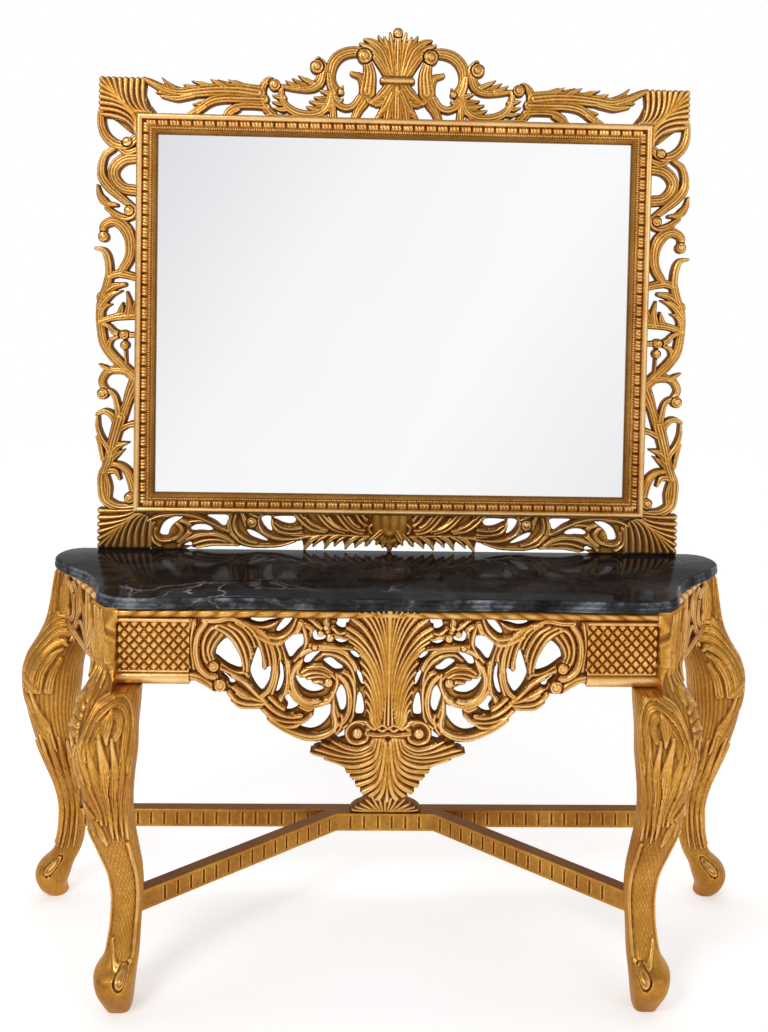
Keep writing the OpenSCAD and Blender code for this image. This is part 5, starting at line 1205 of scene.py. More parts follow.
class CONSOLE_OT_marble(bpy.types.Operator):
    """Cuts the black marble slab with its rolled and grooved edge"""
    bl_idname = "console.marble"
    bl_label = "Marble top"

    def execute(self, context):
        half, _ = smooth_line(TOP_HALF, 7)
        loop = np.vstack([half, (half * (-1, 1))[-2:0:-1]])
        profile = [(0, 3.0), (0.6, 1.4), (2, 0.3), (4.5, 0), (8, 0.1), (10, 0.9), (11, 2.4), (12, 2.6),
                   (12.8, 1.4), (14.5, 0.9), (17.5, 1.3), (19.5, 2.6), (21, 4.3), (21.7, 6.0), (22, 8.0)]
        rings = []
        for z, inset in profile:
            ring = offset_loop(loop, inset)
            ring[:, 1] = np.minimum(ring[:, 1], WALL_Y)
            rings.append(np.column_stack([ring, np.full(len(ring), UNDER_TOP + z)]))
        slab = Shape()
        slab.grid(np.array(rings), np.ones((len(rings), len(loop))))
        piece = slab.piece("marble_slab")
        tidy_faces(piece)
        dress(piece, finish("Black marble"), ["marble_top"], 35)
        return {'FINISHED'}


# ---------------------------------------------------------------- legs

def rounded(value, power):
    return np.sign(value) * np.abs(value) ** power


SLAB_CORNER = np.array(((-560.0, -160.0), (-598.0, -112.0)))
POST_PROUD = 7.0
LEG_ROUND = 62.0
LEG_CARVING = 4.2
# How far the legs' tones are scaled down: painted shade over the whole of each leg
LEG_PAINTED_SHADE = 0.86
SCALE_W, SCALE_H = 12.2, 17

# The directions that the front and back knees face, as turns from straight right
FRONT_FACING, BACK_FACING = math.radians(-112), math.radians(-125)

# Where the legs turn into their squared posts, and over what height
POST_Z = 612
POST_BLEND = 45


def leg_surface(ankle, table, z, turn):
    """Points on the leg's plain form at heights z and angles turn from straight right."""
    values = [np.interp(z, table[:, 0], table[:, k]) for k in range(1, 6)]
    out, forward, half_x, half_y, square = values
    x = ankle[0] + half_x * rounded(np.cos(turn), square) - out
    y = ankle[1] + half_y * rounded(np.sin(turn), square) - forward
    along = SLAB_CORNER[1] - SLAB_CORNER[0]
    along = along / np.linalg.norm(along)
    cant = np.array((-along[1], along[0]))
    over = np.maximum(0, (x - SLAB_CORNER[0][0]) * cant[0] + (y - SLAB_CORNER[0][1]) * cant[1] - POST_PROUD)
    share = np.clip((z - POST_Z) / POST_BLEND, 0, 1)
    return np.stack([x - cant[0] * over * share, y - cant[1] * over * share, z], -1)


def ridges(value):
    """Rounded ridges with sharp cuts between them, one to a unit."""
    return np.abs(np.sin(math.pi * value)) ** 0.75


def leg_map(strokes, bosses, shin):
    """The carving round a leg as a height map; x is the distance round it from the side that it faces."""
    relief = Relief((-200, -8), (200, 790), 1.3, layered=True)
    relief.inside[:] = 9
    depth = np.interp(relief.z, (80, 110, 300, 330, 520, 560), (0, 1.3, 1.3, 2.0, 2.0, 1.4))
    flutes = ridges(relief.x * 40 / (2 * math.pi * LEG_ROUND) + 0.3 * np.sin(relief.z / 60))
    across, up = relief.x / SCALE_W, relief.z / SCALE_H
    scales = ridges(across + up) * ridges(across - up)
    scaly = np.interp(relief.z, (98, 112, 300, 345), (0, 1, 1, 0)) * (np.abs(relief.x - 24) < 62) * shin
    relief.height = (flutes + (scales - flutes) * scaly - 1) * depth - 1.2
    for i, (widths, points) in enumerate(strokes):
        widths = [1.3 * w for w in widths]
        relief.strand(widths, points, LEG_CARVING, drop=0.9 * (i % 3),
                      flutes=max(1, round(max(widths) / 5.5)), most=4.5)
    for radius, centre in bosses:
        relief.boss(radius, centre, LEG_CARVING)
    return relief


def leg_shape(ankle, form, facing, relief, seat):
    """A whole leg: its plain form, pushed out or in by the height map round it.

    A front leg is cut flat behind the front apron, where it takes the apron's end.
    """
    shape = Shape()
    table, _ = smooth_line(form, 3)
    step, columns = (2.2, 260) if seat == 'front' else (2.6, 216)
    z = np.concatenate([np.arange(0, PANEL_Z - 1, step), (PANEL_Z - 0.1, PANEL_Z + 0.1),
                        np.arange(PANEL_Z + 2, UNDER_TOP - 1, step), (UNDER_TOP,)])
    turn = np.linspace(0, 2 * math.pi, columns, endpoint=False)
    zz, tt = np.meshgrid(z, turn, indexing='ij')
    base = leg_surface(ankle, table, zz, tt)
    round_x = LEG_ROUND * ((tt - facing + math.pi) % (2 * math.pi) - math.pi)
    height = relief.sample(relief.height, round_x, zz)
    shade = LEG_PAINTED_SHADE * relief.sample(relief.shades(relief.height), round_x, zz)
    east = np.roll(base, -1, 1) - np.roll(base, 1, 1)
    north = np.gradient(base, axis=0)
    normal = np.cross(east, north)
    normal /= np.maximum(np.linalg.norm(normal, axis=2), 1e-6)[..., None]
    spots = base + normal * height[..., None]
    spots[..., 2] = base[..., 2]
    if seat == 'front':
        behind = (spots[..., 2] > PANEL_Z) & (spots[..., 0] > -APRON_HALF) & (spots[..., 1] < APRON_BACK)
        spots[..., 1] = np.where(behind, APRON_BACK, spots[..., 1])
    spots[..., 1] = np.clip(spots[..., 1], -WALL_Y, WALL_Y)
    shape.grid(spots, shade)
    return shape


FRONT_LEG_STROKES = [
    [[14, 20, 14], [[-14, 505], [-2, 535], [10, 570], [24, 605], [44, 622], [66, 615], [84, 590], [92, 560],
        [92, 520], [80, 470]]],
    [[14, 18, 12], [[0, 510], [10, 540], [20, 570], [32, 596], [46, 606], [62, 600], [74, 580], [78, 556],
        [74, 520], [66, 480]]],
    [[12, 16, 10], [[12, 520], [20, 545], [28, 570], [38, 588], [50, 590], [60, 580], [62, 562],
        [56, 548]]],
    [[5, 17, 4], [[38, 596], [36, 575], [40, 540]]],
    [[10, 16, 6], [[-12, 600], [-30, 612], [-46, 606]]],
    [[10, 16, 6], [[-14, 585], [-34, 592], [-50, 584]]],
    [[10, 16, 6], [[-16, 570], [-36, 572], [-52, 562]]],
    [[10, 16, 6], [[-18, 556], [-36, 552], [-50, 540]]],
    [[10, 16, 6], [[-6, 615], [-24, 630], [-40, 630]]],
    [[4, 22, 4], [[-34, 556], [-24, 500], [-8, 460], [6, 420], [12, 380]]],
    [[4, 22, 4], [[-14, 552], [-4, 490], [8, 450], [16, 410], [20, 370]]],
    [[4, 22, 4], [[8, 548], [14, 490], [22, 450], [28, 410], [30, 370]]],
    [[4, 22, 4], [[26, 556], [34, 500], [38, 450], [40, 400], [40, 340]]],
    [[4, 22, 4], [[48, 548], [54, 490], [54, 440], [52, 390], [50, 330]]],
    [[4, 22, 4], [[70, 530], [72, 460], [70, 410], [66, 340]]],
    [[4, 22, 4], [[92, 510], [88, 440], [84, 390], [78, 330]]],
    [[4, 20, 4], [[-52, 512], [-34, 470], [-16, 440], [6, 405], [20, 380]]],
    [[10, 14, 5], [[-20, 530], [-34, 505], [-50, 488]]],
    [[10, 14, 5], [[-26, 500], [-40, 478], [-56, 462]]],
    [[10, 14, 5], [[-22, 470], [-38, 450], [-54, 436]]],
    [[4, 22, 4], [[-48, 410], [-24, 385], [-10, 365], [-6, 345]]],
    [[4, 20, 4], [[-26, 410], [-6, 380], [4, 355]]],
    [[10, 14, 6], [[4, 375], [14, 350], [20, 325]]],
    [[8, 10, 8], [[-34, 350], [-28, 300], [-26, 250], [-28, 200], [-30, 150], [-38, 110]]],
    [[9, 11, 9], [[74, 320], [76, 240], [76, 160], [74, 100]]],
    [[8, 10, 7], [[-6, 124], [10, 100], [26, 88], [50, 90], [70, 92]]]]
POST_LEAVES = [[[5, 17, 4], [[s + 0.1 * (z - 640), z], [s, z + 34], [s - 4, z + 62]]]
               for z, first in ((632, -84), (672, -73), (708, -84)) for s in range(first, 115, 23)]
FRONT_LEG_BOSSES = [[19, [50, 74]], [8, [-52, 385]]]
BACK_LEG_STROKES = [
    [[20, 20, 10], [[-40, 500], [-38, 560], [-20, 620], [14, 655], [50, 660], [80, 640]]],
    [[19, 19, 10], [[-24, 500], [-20, 560], [-2, 612], [28, 640], [58, 640], [76, 622]]],
    [[17, 17, 10], [[-8, 500], [-2, 560], [14, 604], [38, 624], [60, 620], [70, 606]]],
    [[16, 16, 8], [[8, 500], [14, 555], [28, 594], [46, 606], [60, 600]]],
    [[14, 14, 8], [[24, 500], [30, 548], [42, 580], [54, 590]]],
    [[14, 14, 8], [[44, 500], [50, 540], [60, 570]]],
    [[17, 17, 12], [[-60, 540], [-40, 525], [-10, 520], [20, 500]]],
    [[5, 24, 5], [[-56, 530], [-30, 490], [0, 455], [24, 410]]],
    [[4, 20, 4], [[-24, 494], [0, 440], [20, 400], [34, 360]]],
    [[4, 20, 4], [[6, 498], [24, 440], [36, 400], [46, 350]]],
    *([[7, 20, 5], [[x, z], [x - 4, 300], [x - 10, 200], [x - 14, 110]]] for x, z in (
        (-30, 364.0), (-8, 377.2), (14, 390.4), (36, 396.4), (58, 383.2), (80, 370.0))),
    [[17, 23, 10], [[-20, 668], [-24, 710], [-20, 755]]],
    [[17, 20, 10], [[6, 672], [4, 715], [8, 755]]],
    [[17, 20, 10], [[36, 672], [34, 715], [38, 755]]],
    [[17, 20, 10], [[-48, 600], [-50, 660], [-46, 720]]]]
BACK_LEG_BOSSES = [[9, [66, 612]], [19, [30, 72]]]


class CONSOLE_OT_legs(bpy.types.Operator):
    """Carves the four cabriole legs with their leaves, flutes and scroll feet"""
    bl_idname = "console.legs"
    bl_label = "Legs"

    def execute(self, context):
        for name, ankle, form, facing, strokes, bosses in (
                ("front", FRONT_ANKLE, FRONT_FORM, FRONT_FACING, POST_LEAVES + FRONT_LEG_STROKES,
                 FRONT_LEG_BOSSES),
                ("back", BACK_ANKLE, BACK_FORM, BACK_FACING, BACK_LEG_STROKES, BACK_LEG_BOSSES)):
            shape = leg_shape(ankle, form, facing, leg_map(strokes, bosses, name == "front"), name)
            for side, mirrored in SIDES:
                gild(shape.piece(f"leg_{name}_{side}", mirrored), [f"{name}_{side}_leg"])
        return {'FINISHED'}


# ---------------------------------------------------------------- apron

def gadroon_strip(shape, place, start, stop, front, lean):
    """A roll of long slanted lobes under the marble; lean is how far a lobe drifts over the height."""
    low, high = STRIP_Z, UNDER_TOP
    s = np.linspace(start, stop, int((stop - start) / 2.5) + 1)
    v = np.radians(np.linspace(-50, 88, 12))
    middle = (low + high) / 2
    roll_z = middle + (high - low) / 2 * np.sin(v)
    roll_h = front * (0.55 + 0.45 * np.cos(v))
    share = (s[:, None] + lean * (roll_z[None] - low) / (high - low)) / GADROON_PITCH
    lobe = np.abs(np.sin(math.pi * share)) ** 0.6
    height = roll_h[None] - 2.6 * (1 - lobe) * np.cos(v)[None] ** 0.3
    z = np.repeat(roll_z[None], len(s), 0)
    x = np.repeat(s[:, None], len(v), 1)
    # Dark between the lobes, and darker towards the top and the bottom of the roll: patina in the grooves
    # with painted shade, under the marble above and on the faces turned down below
    shade = (0.1 + 0.72 * lobe) * (0.35 + 0.65 * np.cos(v[None] - 0.3).clip(0, 1))
    back = np.zeros((len(s), 1))
    z = np.concatenate([back + low, z, back + high], 1)
    x = np.concatenate([s[:, None], x, s[:, None]], 1)
    height = np.concatenate([back, height, back], 1)
    shade = np.concatenate([back, shade, back], 1)
    shape.grid(place(np.stack([x, z], -1), height), shade)


def bar(shape, place, low, high, front):
    """A plain rounded bead along the lattice panel."""
    s = np.linspace(-APRON_HALF, -LATTICE_X, int((APRON_HALF - LATTICE_X) / 12))
    v = np.radians(np.linspace(-80, 80, 9))
    z = (low + high) / 2 + (high - low) / 2 * np.sin(v) / math.sin(v[-1])
    z = np.concatenate([z, (high, low)])
    h = np.concatenate([front * (0.35 + 0.65 * np.cos(v) ** 0.5), (0, 0)])
    # Lightest on the bead's front, darker towards its top and bottom, and dark at the back: painted shade on
    # the faces turned away from the light
    shade = np.concatenate([0.25 + 0.75 * np.cos(v), (0, 0)])
    flat = np.stack(np.broadcast_arrays(s[:, None], z[None]), -1)
    rows = np.ones((len(s), 1))
    shape.grid(place(flat, rows * h), rows * shade)


class CONSOLE_OT_apron(bpy.types.Operator):
    """Carves the front apron: its gadroon, its lattice panels, its scrollwork and its plume"""
    bl_idname = "console.apron"
    bl_label = "Front apron"

    def execute(self, context):
        place = board(APRON_BACK)
        strip = Shape()
        gadroon_strip(strip, place, -APRON_HALF, 0, GADROON_FRONT, -GADROON_LEAN)
        gadroon_strip(strip, place, 0, APRON_HALF, GADROON_FRONT, GADROON_LEAN)
        gild(strip.piece("apron_gadroon"), ["apron_moulding"])

        plume = Relief((-160, 386), (160, 779))
        ground = both_halves(PLUME_GROUND)
        plume.plate(ground, PLUME_GROUND_T)
        for i, rib in enumerate(plume_ribs()):
            for sign in (1, -1):
                points = [[sign * x, z] for x, z in rib]
                plume.strand([5, 9, 6], points, PLUME_T, drop=0.8 * (i % 2), flutes=1)
        plume.strand([7, 9, 7], [[0, 546], [0, 660], [0, 777]], PLUME_T + 1, flutes=1)
        for sign in (-1, 1):
            points = [[sign * 8, 546], [sign * 6, 600], [sign * 3, 680]]
            plume.strand([6, 7, 3], points, PLUME_T, flutes=1)
        fan = [[widths, points + [longer(points, FAN_RUN_ON)]] for widths, points in FAN_RIBS]
        plume.carve(fan + COLLAR_STROKES, FAN_BALLS, PLUME_T)
        plume.carve(flipped(fan + COLLAR_STROKES), flipped_bosses(FAN_BALLS), PLUME_T)
        plume.keep(plume.depth(ground) + FAN_MARGIN + np.clip(0.5 * (plume.z - FAN_TOP), 0, 20))
        panel_piece(plume, place, "apron_plume_carving", False, ["apron_plume"])

        scroll = Relief((-LATTICE_X - 4, 498), (-38, STRIP_Z + 8))
        scroll.plate(SCROLL_OUTLINE, SCROLL_GROUND_T)
        scroll.carve(SCROLL_STROKES, SCROLL_BALLS, SCROLL_T)
        for hole in SCROLL_HOLES:
            scroll.hole(rounded_outline(hole))
        scroll.keep(scroll.x + LATTICE_X)
        scroll.keep(STRIP_Z + 3 - scroll.z)
        lattice = Shape()
        lattice_panel(lattice, place)
        for side, mirrored in SIDES:
            panel_piece(scroll, place, f"scrollwork_{side}", mirrored, [f"apron_scroll_{side}"])
            gild(lattice.piece(f"lattice_{side}", mirrored), [f"apron_lattice_{side}"])
        return {'FINISHED'}


def longer(points, more):
    """Where a line ends when it runs on by more millimetres."""
    ahead = np.subtract(points[-1], points[-2])
    return (points[-1] + ahead * more / np.linalg.norm(ahead)).tolist()


def plume_ribs():
    """The plume's ribs: each rises beside the spine and sweeps out to its tip."""
    ribs = []
    for i, (tip_x, tip_z) in enumerate(PLUME_TIPS):
        share = i / (len(PLUME_TIPS) - 1)
        foot_x = -2 - 32 * share ** 1.5
        start = 552 + (tip_z - 552) * 0.60 * (1 - share) ** 1.7
        turn = np.radians(np.linspace(0, 62 + 16 * share, 6))
        x = foot_x + (tip_x - foot_x) * (1 - np.cos(turn)) / (1 - math.cos(turn[-1]))
        z = start + (tip_z - start) * np.sin(turn) / math.sin(turn[-1])
        ribs.append([[foot_x * 0.8, start - 12]] + np.stack([x, z], 1).tolist())
    return ribs


def lattice_panel(shape, place):
    """Rounded diamonds between crossing cuts, with a bead above and a heavier one below."""
    x = np.arange(-APRON_HALF, -LATTICE_X + 0.1, 1.5)
    z = np.arange(PANEL_Z + 28, STRIP_Z - 8, 1.5)
    xx, zz = np.meshgrid(x, z, indexing='ij')
    across, up = xx / LATTICE_CELL[0], zz / LATTICE_CELL[1]
    one, two = ridges(across + up), ridges(across - up)
    pillow = np.sin(0.5 * math.pi * np.clip((np.minimum(one, two) - 0.14) / 0.78, 0, 1)) ** 0.7
    height = 17.0 + 7.0 * pillow
    # Dark in the crossing cuts, light on the diamonds: patina with painted shade
    shade = 0.20 + 0.58 * pillow
    flat = np.stack([xx, zz], -1)
    back = np.zeros((len(x), 1))
    flat = np.concatenate([flat, flat[:, -1:], flat[:, :1]], 1)
    height = np.concatenate([height, back, back], 1)
    shade = np.concatenate([shade, back, back], 1)
    shape.grid(place(flat, height), shade)
    bar(shape, place, STRIP_Z - 11, STRIP_Z, 26)
    bar(shape, place, PANEL_Z + 24, PANEL_Z + 31, 24)
    bar(shape, place, PANEL_Z, PANEL_Z + 25, 26)


class CONSOLE_OT_side_aprons(bpy.types.Operator):
    """Carves the pierced side aprons with their gadroon"""
    bl_idname = "console.side_aprons"
    bl_label = "Side aprons"

    def execute(self, context):
        strip = Shape()
        gadroon_strip(strip, side_board, 0, SIDE_LENGTH, SIDE_T, GADROON_LEAN)
        relief = Relief((-4, PANEL_Z - 4), (SIDE_LENGTH + 4, STRIP_Z + 6))
        relief.carve(SIDE_STROKES, SIDE_BALLS, SIDE_T - 1)
        relief.keep(relief.z - PANEL_Z)
        relief.keep(np.minimum(relief.x, SIDE_LENGTH - relief.x))
        for side, mirrored in SIDES:
            panel_piece(relief, side_board, f"side_carving_{side}_apron", mirrored, [f"side_apron_{side}"])
            gild(strip.piece(f"side_gadroon_{side}", mirrored), [f"side_apron_{side}"])
        return {'FINISHED'}


class CONSOLE_OT_rails(bpy.types.Operator):
    """Finishes the plain rails and the small fixings"""
    bl_idname = "console.rails"
    bl_label = "Rails and fixings"

    def execute(self, context):
        recolour(["back_rail", "cross_rail_left", "cross_rail_right", "backing_board"], "Bare wood")
        recolour(["stretcher_screws", "backing_clips", "hanger_plates", "hanger_screws"], "Zinc plated steel")
        recolour(["mirror_glass"], "Silvered glass")
        return {'FINISHED'}


def notched_bar(start, stop, front, thick, cuts, corner=None):
    """A square gilt bar with notches across its front; corner is where its cut end turns, seen from above."""
    size = np.linalg.norm(np.subtract(stop, start))
    ahead = np.subtract(stop, start) / size
    forward = np.array((ahead[1], -ahead[0])) * front
    half, deep = STRETCHER_H / 2, 0.64 * STRETCHER_H / 2
    edge = NOTCH_W / 2
    offsets = np.array((-edge - 1.2, -edge, -edge + 0.5, edge - 0.5, edge, edge + 1.2))
    s = [(0.0, size), np.arange(9, size - 4, 6.0)] + [c + offsets for c in cuts]
    s = np.unique(np.concatenate(s))
    s = s[(s >= 0) & (s <= size)]
    z = np.array((-half, -half + 0.2, -half + 1.4, -deep - 0.4, -deep,
                  deep, deep + 0.4, half - 1.4, half - 0.2, half, half))
    ss, zz = np.meshgrid(s, z, indexing='ij')
    gap = np.abs(ss[..., None] - np.array(cuts)).min(2)
    cut = (gap < edge - 0.2) & (np.abs(zz) < deep + 0.1)
    height = thick - 1.2 * np.clip((np.abs(zz) - half + 1.2) / 1.2, 0, 1) ** 2 - NOTCH_DEPTH * cut
    # Dark in the notches, with light rims beside them and lighter edges: patina with painted shade in the
    # notches and a painted highlight on their rims
    shade = np.where(cut, 0.0, np.where(np.abs(zz) > half - 1.5, 0.6, 0.43))
    shade = np.where((gap < edge + 1.3) & ~cut & (np.abs(zz) < deep + 0.1), 0.7, shade)
    height[:, -1] = height[:, -2]
    # The top face gets 0, a painted shadow under the table top, and the underside 0.3 below, painted shade
    shade[:, -1] = 0.0
    ends = np.zeros((len(s), 1))
    turn_s, turn_h, back_s = corner or (0.0, thick / 2, 0.0)
    zz = np.concatenate([zz, ends + half, ends + half, ends - half, ends - half], 1)
    height = np.concatenate([height, ends + turn_h, ends, ends, ends + turn_h], 1)
    shade = np.concatenate([shade, ends, ends, ends + 0.3, ends + 0.3], 1)
    ss = np.repeat(s[:, None], zz.shape[1], 1)
    ss[0] = np.interp(height[0], (0, turn_h, thick), (back_s, turn_s, 0))
    ground = np.array(start) + ss[..., None] * ahead + height[..., None] * forward
    shape = Shape()
    shape.grid(np.concatenate([ground, STRETCHER_Z + zz[..., None]], 2), shade)
    return shape


class CONSOLE_OT_stretcher(bpy.types.Operator):
    """Makes the notched stretcher between the legs and the small leaf on its centre block"""
    bl_idname = "console.stretcher"
    bl_label = "Stretcher"

    def execute(self, context):
        rail_front = BACK_ANKLE[1] - STRETCHER_T / 2 - RAIL_SETBACK
        rail_back = rail_front + STRETCHER_T
        block_front = rail_front - BLOCK_T
        half = BLOCK_W / 2
        end = -BACK_ANKLE[0] - RAIL_INSET
        cuts = np.arange(half + RAIL_FIRST * RAIL_PITCH, end - RAIL_PITCH / 2 + 0.1, RAIL_PITCH)
        cuts = np.concatenate([end - cuts[::-1], end + cuts])
        rail = notched_bar((-end, rail_back), (end, rail_back), 1, STRETCHER_T, cuts)
        cuts = BLOCK_W * np.arange(1, BLOCK_NOTCHES + 1) / (BLOCK_NOTCHES + 1)
        block = notched_bar((-half, rail_front), (half, rail_front), 1, BLOCK_T, cuts)
        gild(rail.piece("notched_rail"), ["stretcher_rail"], 30)
        gild(block.piece("notched_block"), ["stretcher_block"], 30)
        start = np.array((-half, block_front))
        aim = FRONT_ANKLE + ARM_AIM
        size = np.linalg.norm(aim - start)
        ahead = (aim - start) / size
        back = start + np.array((ahead[1], -ahead[0])) * STRETCHER_T
        stop = back + ahead * (size - ARM_INSET)
        cuts = np.arange(ARM_PITCH * ARM_FIRST, size - ARM_CLEAR - ARM_PITCH / 2 + 0.1, ARM_PITCH)
        corner = (BLOCK_T * ahead[1], STRETCHER_T - BLOCK_T * -ahead[0], (rail_front - back[1]) / ahead[1])
        arm = notched_bar(back, stop, -1, STRETCHER_T, cuts, corner)
        for side, mirrored in SIDES:
            gild(arm.piece(f"notched_arm_{side}", mirrored), [f"stretcher_arm_{side}"], 30)

        base = STRETCHER_Z + STRETCHER_H / 2
        leaf = Relief((-92, base - 4), (92, base + 52))
        outline = both_halves([[x, base + 0.4 + up] for x, up in LEAF_OUTLINE])
        leaf.plate(outline, LEAF_GROUND_T)
        for tip_x, tip_up in LEAF_TIPS:
            for x in ((tip_x, -tip_x) if tip_x else (0,)):
                vein = [[x * 0.25, base], [x * 0.62, base + 0.45 * tip_up], [x, base + tip_up]]
                leaf.strand([7, 11, 8], vein, LEAF_T)
        leaf.keep(leaf.depth(outline))
        panel_piece(leaf, board(block_front + LEAF_BACK), "stretcher_leaf_carving", False, ["stretcher_leaf"])
        return {'FINISHED'}


# ---------------------------------------------------------------- mirror frame

def moulding_height(s, d):
    """Height and tone of the moulding at s along it and d in from its outer edge: patina with painted shade
    and highlights.
    """
    phase = (s / DART_PITCH) % 1
    band = np.sqrt(np.clip(1 - ((d - 6.5) / 7.2) ** 2, 0, 1))
    dart = np.exp(-(np.minimum(phase, 1 - phase) / 0.055) ** 2)
    reed = np.where(np.abs(phase - 0.5) < 0.43, np.abs(np.cos(math.pi * 3 * (phase - 0.5) / 0.86)) ** 0.6, 0)
    reed *= np.clip(1 - ((d - 20.5) / 6.4) ** 4, 0, 1)
    pearl = np.sqrt(np.clip(1 - (((phase * 5) % 1 - 0.5) / 0.48) ** 2 - ((d - 32.5) / 3.8) ** 2, 0, 1))
    zones = [d < BEAD_END, d < REED_END, d < PEARL_END]
    height = np.select(zones, [28 + 6 * band, 25 + 3.2 * reed - 2.5 * dart, 24.5 + 4.2 * pearl],
                       28 - 1.3 * (d - PEARL_END))
    # Light on the band, the reeds and the pearls, dark in the darts, and darker down the inner slope: patina
    # with painted shade and painted highlights
    shade = np.select(zones, [0.80 + 0.20 * band, 0.44 + 0.50 * reed - 0.44 * dart, 0.40 + 0.60 * pearl],
                      0.80 - 0.06 * (d - PEARL_END))
    # A dark line where the moulding meets the glass: painted shade
    return height, np.clip(np.where(d > 44.5, 0.05, shade), 0, 1)


def moulding_length(length, place):
    """A mitred length of the moulding, with its darts counted from its middle."""
    shape = Shape()
    d = np.concatenate([(0, 0.8, 2, 4, 6.5, 9, 11, 12.4, 12.9), np.linspace(13.4, 27.2, 12),
                        np.linspace(27.8, 37.2, 9), (37.8, 40, 43, 44.4, 44.8, MOULDING_W)])
    s = np.arange(0, length / 2, 1.3)
    s = np.concatenate([s, length - s[::-1]])
    ss, dd = np.meshgrid(s, d, indexing='ij')
    along = dd + ss * (1 - 2 * dd / length)
    height, shade = moulding_height(np.abs(along - length / 2) + DART_PITCH / 2, dd)
    tail = np.array([(MOULDING_W, REBATE_H), (REBATE_D, REBATE_H), (REBATE_D, 0), (0, 0)])
    tail_d = np.repeat(tail[None, :, 0], len(s), 0)
    tail_h = np.repeat(tail[None, :, 1], len(s), 0)
    tail_s = tail_d + s[:, None] * (1 - 2 * tail_d / length)
    flat = np.concatenate([np.stack([along, dd], -1), np.stack([tail_s, tail_d], -1)], 1)
    height = np.concatenate([height, tail_h], 1)
    shade = np.concatenate([shade, np.full_like(tail_h, 0.3)], 1)
    shape.grid(place(flat, height), shade)
    return shape


class CONSOLE_OT_mouldings(bpy.types.Operator):
    """Runs the mitred mouldings with their darts and pearls round the glass"""
    bl_idname = "console.mouldings"
    bl_label = "Mouldings"

    def execute(self, context):
        def low(flat, height):
            return np.stack([flat[..., 0] - HALF_FRAME, WALL_Y - height, FRAME_Z + flat[..., 1]], -1)

        def high(flat, height):
            return np.stack([flat[..., 0] - HALF_FRAME, WALL_Y - height, FRAME_TOP - flat[..., 1]], -1)

        def upright(flat, height):
            return np.stack([flat[..., 1] - HALF_FRAME, WALL_Y - height, FRAME_Z + flat[..., 0]], -1)

        for side, length, place, mirrored in (
                ("bottom", 2 * HALF_FRAME, low, False), ("top", 2 * HALF_FRAME, high, False),
                ("left", FRAME_TOP - FRAME_Z, upright, False), ("right", FRAME_TOP - FRAME_Z, upright, True)):
            piece = moulding_length(length, place).piece(f"carved_moulding_{side}", mirrored)
            gild(piece, [f"moulding_{side}"])
        return {'FINISHED'}


class CONSOLE_OT_shells(bpy.types.Operator):
    """Carves the fluted shells at the mirror's corners"""
    bl_idname = "console.shells"
    bl_label = "Corner shells"

    def execute(self, context):
        for level, outline, rim, base, count in (
                ("top", TOP_SHELL, [[-586, 1902], [-600, 1905], [-689, 1905], [-690, 1816]],
                 [[-573, 1829], [-606, 1829], [-608, 1774]], 14),
                ("bottom", LOW_SHELL, [[-686, 900], [-686, 808], [-560, 808]],
                 [[-608, 897], [-605, 887], [-560, 887]], 13)):
            relief = Relief(np.min(outline, 0) - 6, np.max(outline, 0) + 6)
            relief.plate(outline, SHELL_GROUND_T)
            away = np.maximum(np.abs(relief.x) - HALF_FRAME, relief.z - FRAME_TOP)
            inset = np.clip(0.2 * (away - 20), 0, 6) * np.clip((relief.z - TABLE_H) / 12, 0, 1)
            inside = relief.depth(outline)
            relief.keep(inside - inset)
            for rib in shell_ribs(rim, base, count):
                relief.strand([4.5, 8.5, 15], rib, BORDER_T + 2, flutes=1)
            relief.keep(inside)
            for side, mirrored in SIDES:
                panel_piece(relief, ON_WALL, f"corner_shell_{level}_{side}", mirrored,
                            [f"shell_{level}_{side}"])
        return {'FINISHED'}


class CONSOLE_OT_border(bpy.types.Operator):
    """Carves the pierced border and the crest round the mirror"""
    bl_idname = "console.border"
    bl_label = "Border carving"

    def execute(self, context):
        for level, strokes, bosses in (
                ("side", SIDE_CARVING_STROKES, SIDE_CARVING_BALLS),
                ("top", TOP_CARVING_STROKES, TOP_CARVING_BALLS),
                ("bottom", BOTTOM_STROKES, BOTTOM_BALLS)):
            relief = border_relief(strokes, bosses, BORDER_T, level == "bottom")
            for side, mirrored in SIDES:
                panel_piece(relief, ON_WALL, f"border_{level}_{side}", mirrored, [f"{level}_carving_{side}"])
        strokes = CREST_HALF_STROKES + flipped(CREST_HALF_STROKES) + CREST_MIDDLE_STROKES
        bosses = CREST_HALF_BALLS + flipped_bosses(CREST_HALF_BALLS) + CREST_MIDDLE_BALLS
        relief = border_relief(strokes, bosses, BORDER_T + 1)
        relief.layered = True
        relief.strand([17, 19, 17], CREST_COLLAR, BORDER_T + 6, flutes=1)
        panel_piece(relief, ON_WALL, "crest_carving", False, ["crest"])
        strokes = BOTTOM_SHELL_STROKES + flipped(BOTTOM_SHELL_STROKES)
        relief = border_relief(strokes, [], BORDER_T + 1)
        panel_piece(relief, ON_WALL, "bottom_shell_carving", False, ["bottom_shell"])
        return {'FINISHED'}


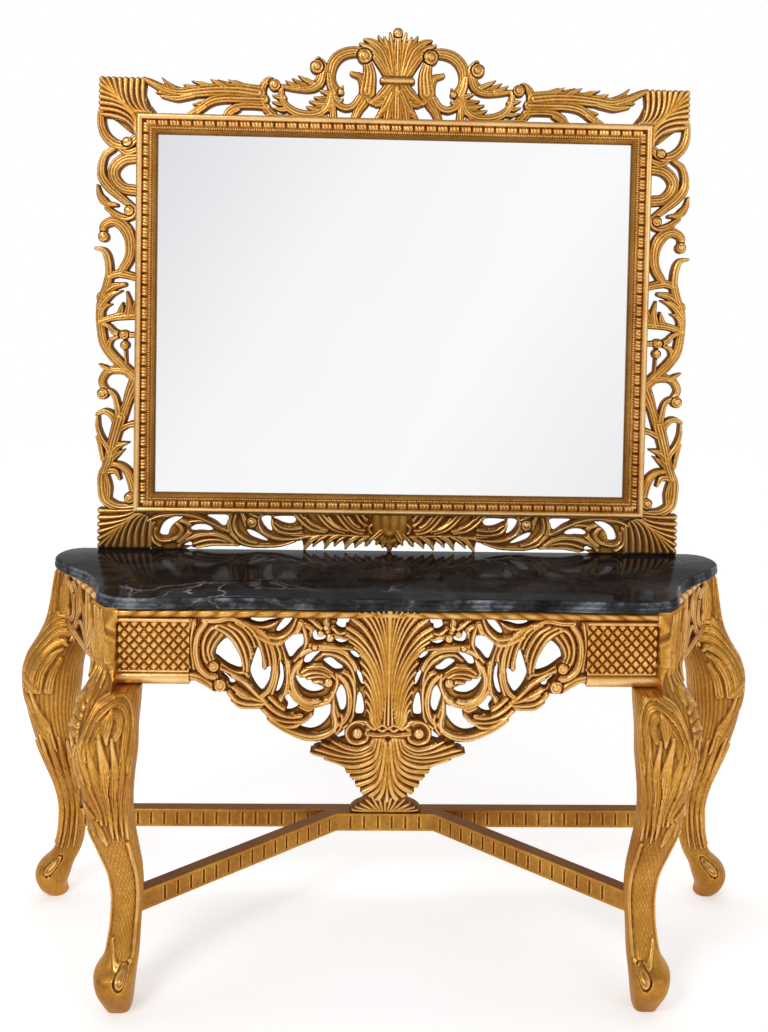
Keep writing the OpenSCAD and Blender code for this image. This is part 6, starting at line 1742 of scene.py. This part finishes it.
def border_relief(strokes, bosses, thick, pierced=False):
    """Border carving, cut off at the moulding, the marble and its outer reach; pierced is the low border."""
    spots = np.array([p for _, points in strokes for p in points])
    relief = Relief(spots.min(0) - 30, spots.max(0) + 30)
    if pierced:
        relief.plate(BOTTOM_GROUND, BOTTOM_GROUND_T)
    relief.carve(strokes, bosses, thick)
    if pierced:
        for hole in BOTTOM_HOLES:
            relief.hole(rounded_outline(hole))
        relief.keep(BOTTOM_END - relief.x)
    out = np.maximum(np.abs(relief.x) - HALF_FRAME, np.maximum(FRAME_Z - relief.z, relief.z - FRAME_TOP))
    relief.keep(out + GLASS_LAP)
    relief.keep(relief.z - TABLE_H - MARBLE_CUT)
    relief.keep(CARVING_REACH - np.abs(relief.x))
    return relief


class CONSOLE_PT_panel(bpy.types.Panel):
    """Lists the console's pieces"""
    bl_idname = "CONSOLE_PT_panel"
    bl_label = "Console with mirror"
    bl_space_type = 'VIEW_3D'
    bl_region_type = 'UI'
    bl_category = "Console"

    def draw(self, context):
        for name, group in GROUPS:
            for setting in group.__annotations__:
                self.layout.prop(getattr(context.scene, name), setting)
        for piece in PIECES:
            self.layout.operator(piece.bl_idname)


PIECES = (CONSOLE_OT_stage, CONSOLE_OT_marble, CONSOLE_OT_legs, CONSOLE_OT_apron, CONSOLE_OT_side_aprons,
          CONSOLE_OT_rails, CONSOLE_OT_stretcher, CONSOLE_OT_mouldings, CONSOLE_OT_shells, CONSOLE_OT_border)
GROUPS = (("console_carving", CarvingSizes), ("console_colours", FinishColours),
          ("console_stage", StageSizes))


def register():
    for name, group in GROUPS:
        bpy.utils.register_class(group)
        setattr(bpy.types.Scene, name, PointerProperty(type=group))
    for piece in PIECES:
        bpy.utils.register_class(piece)
    bpy.utils.register_class(CONSOLE_PT_panel)


def unregister():
    bpy.utils.unregister_class(CONSOLE_PT_panel)
    for piece in reversed(PIECES):
        bpy.utils.unregister_class(piece)
    for name, group in reversed(GROUPS):
        delattr(bpy.types.Scene, name)
        bpy.utils.unregister_class(group)


def main():
    register()
    for piece in PIECES:
        folder, name = piece.bl_idname.split(".")
        getattr(getattr(bpy.ops, folder), name)()


if __name__ == "__main__":
    main()
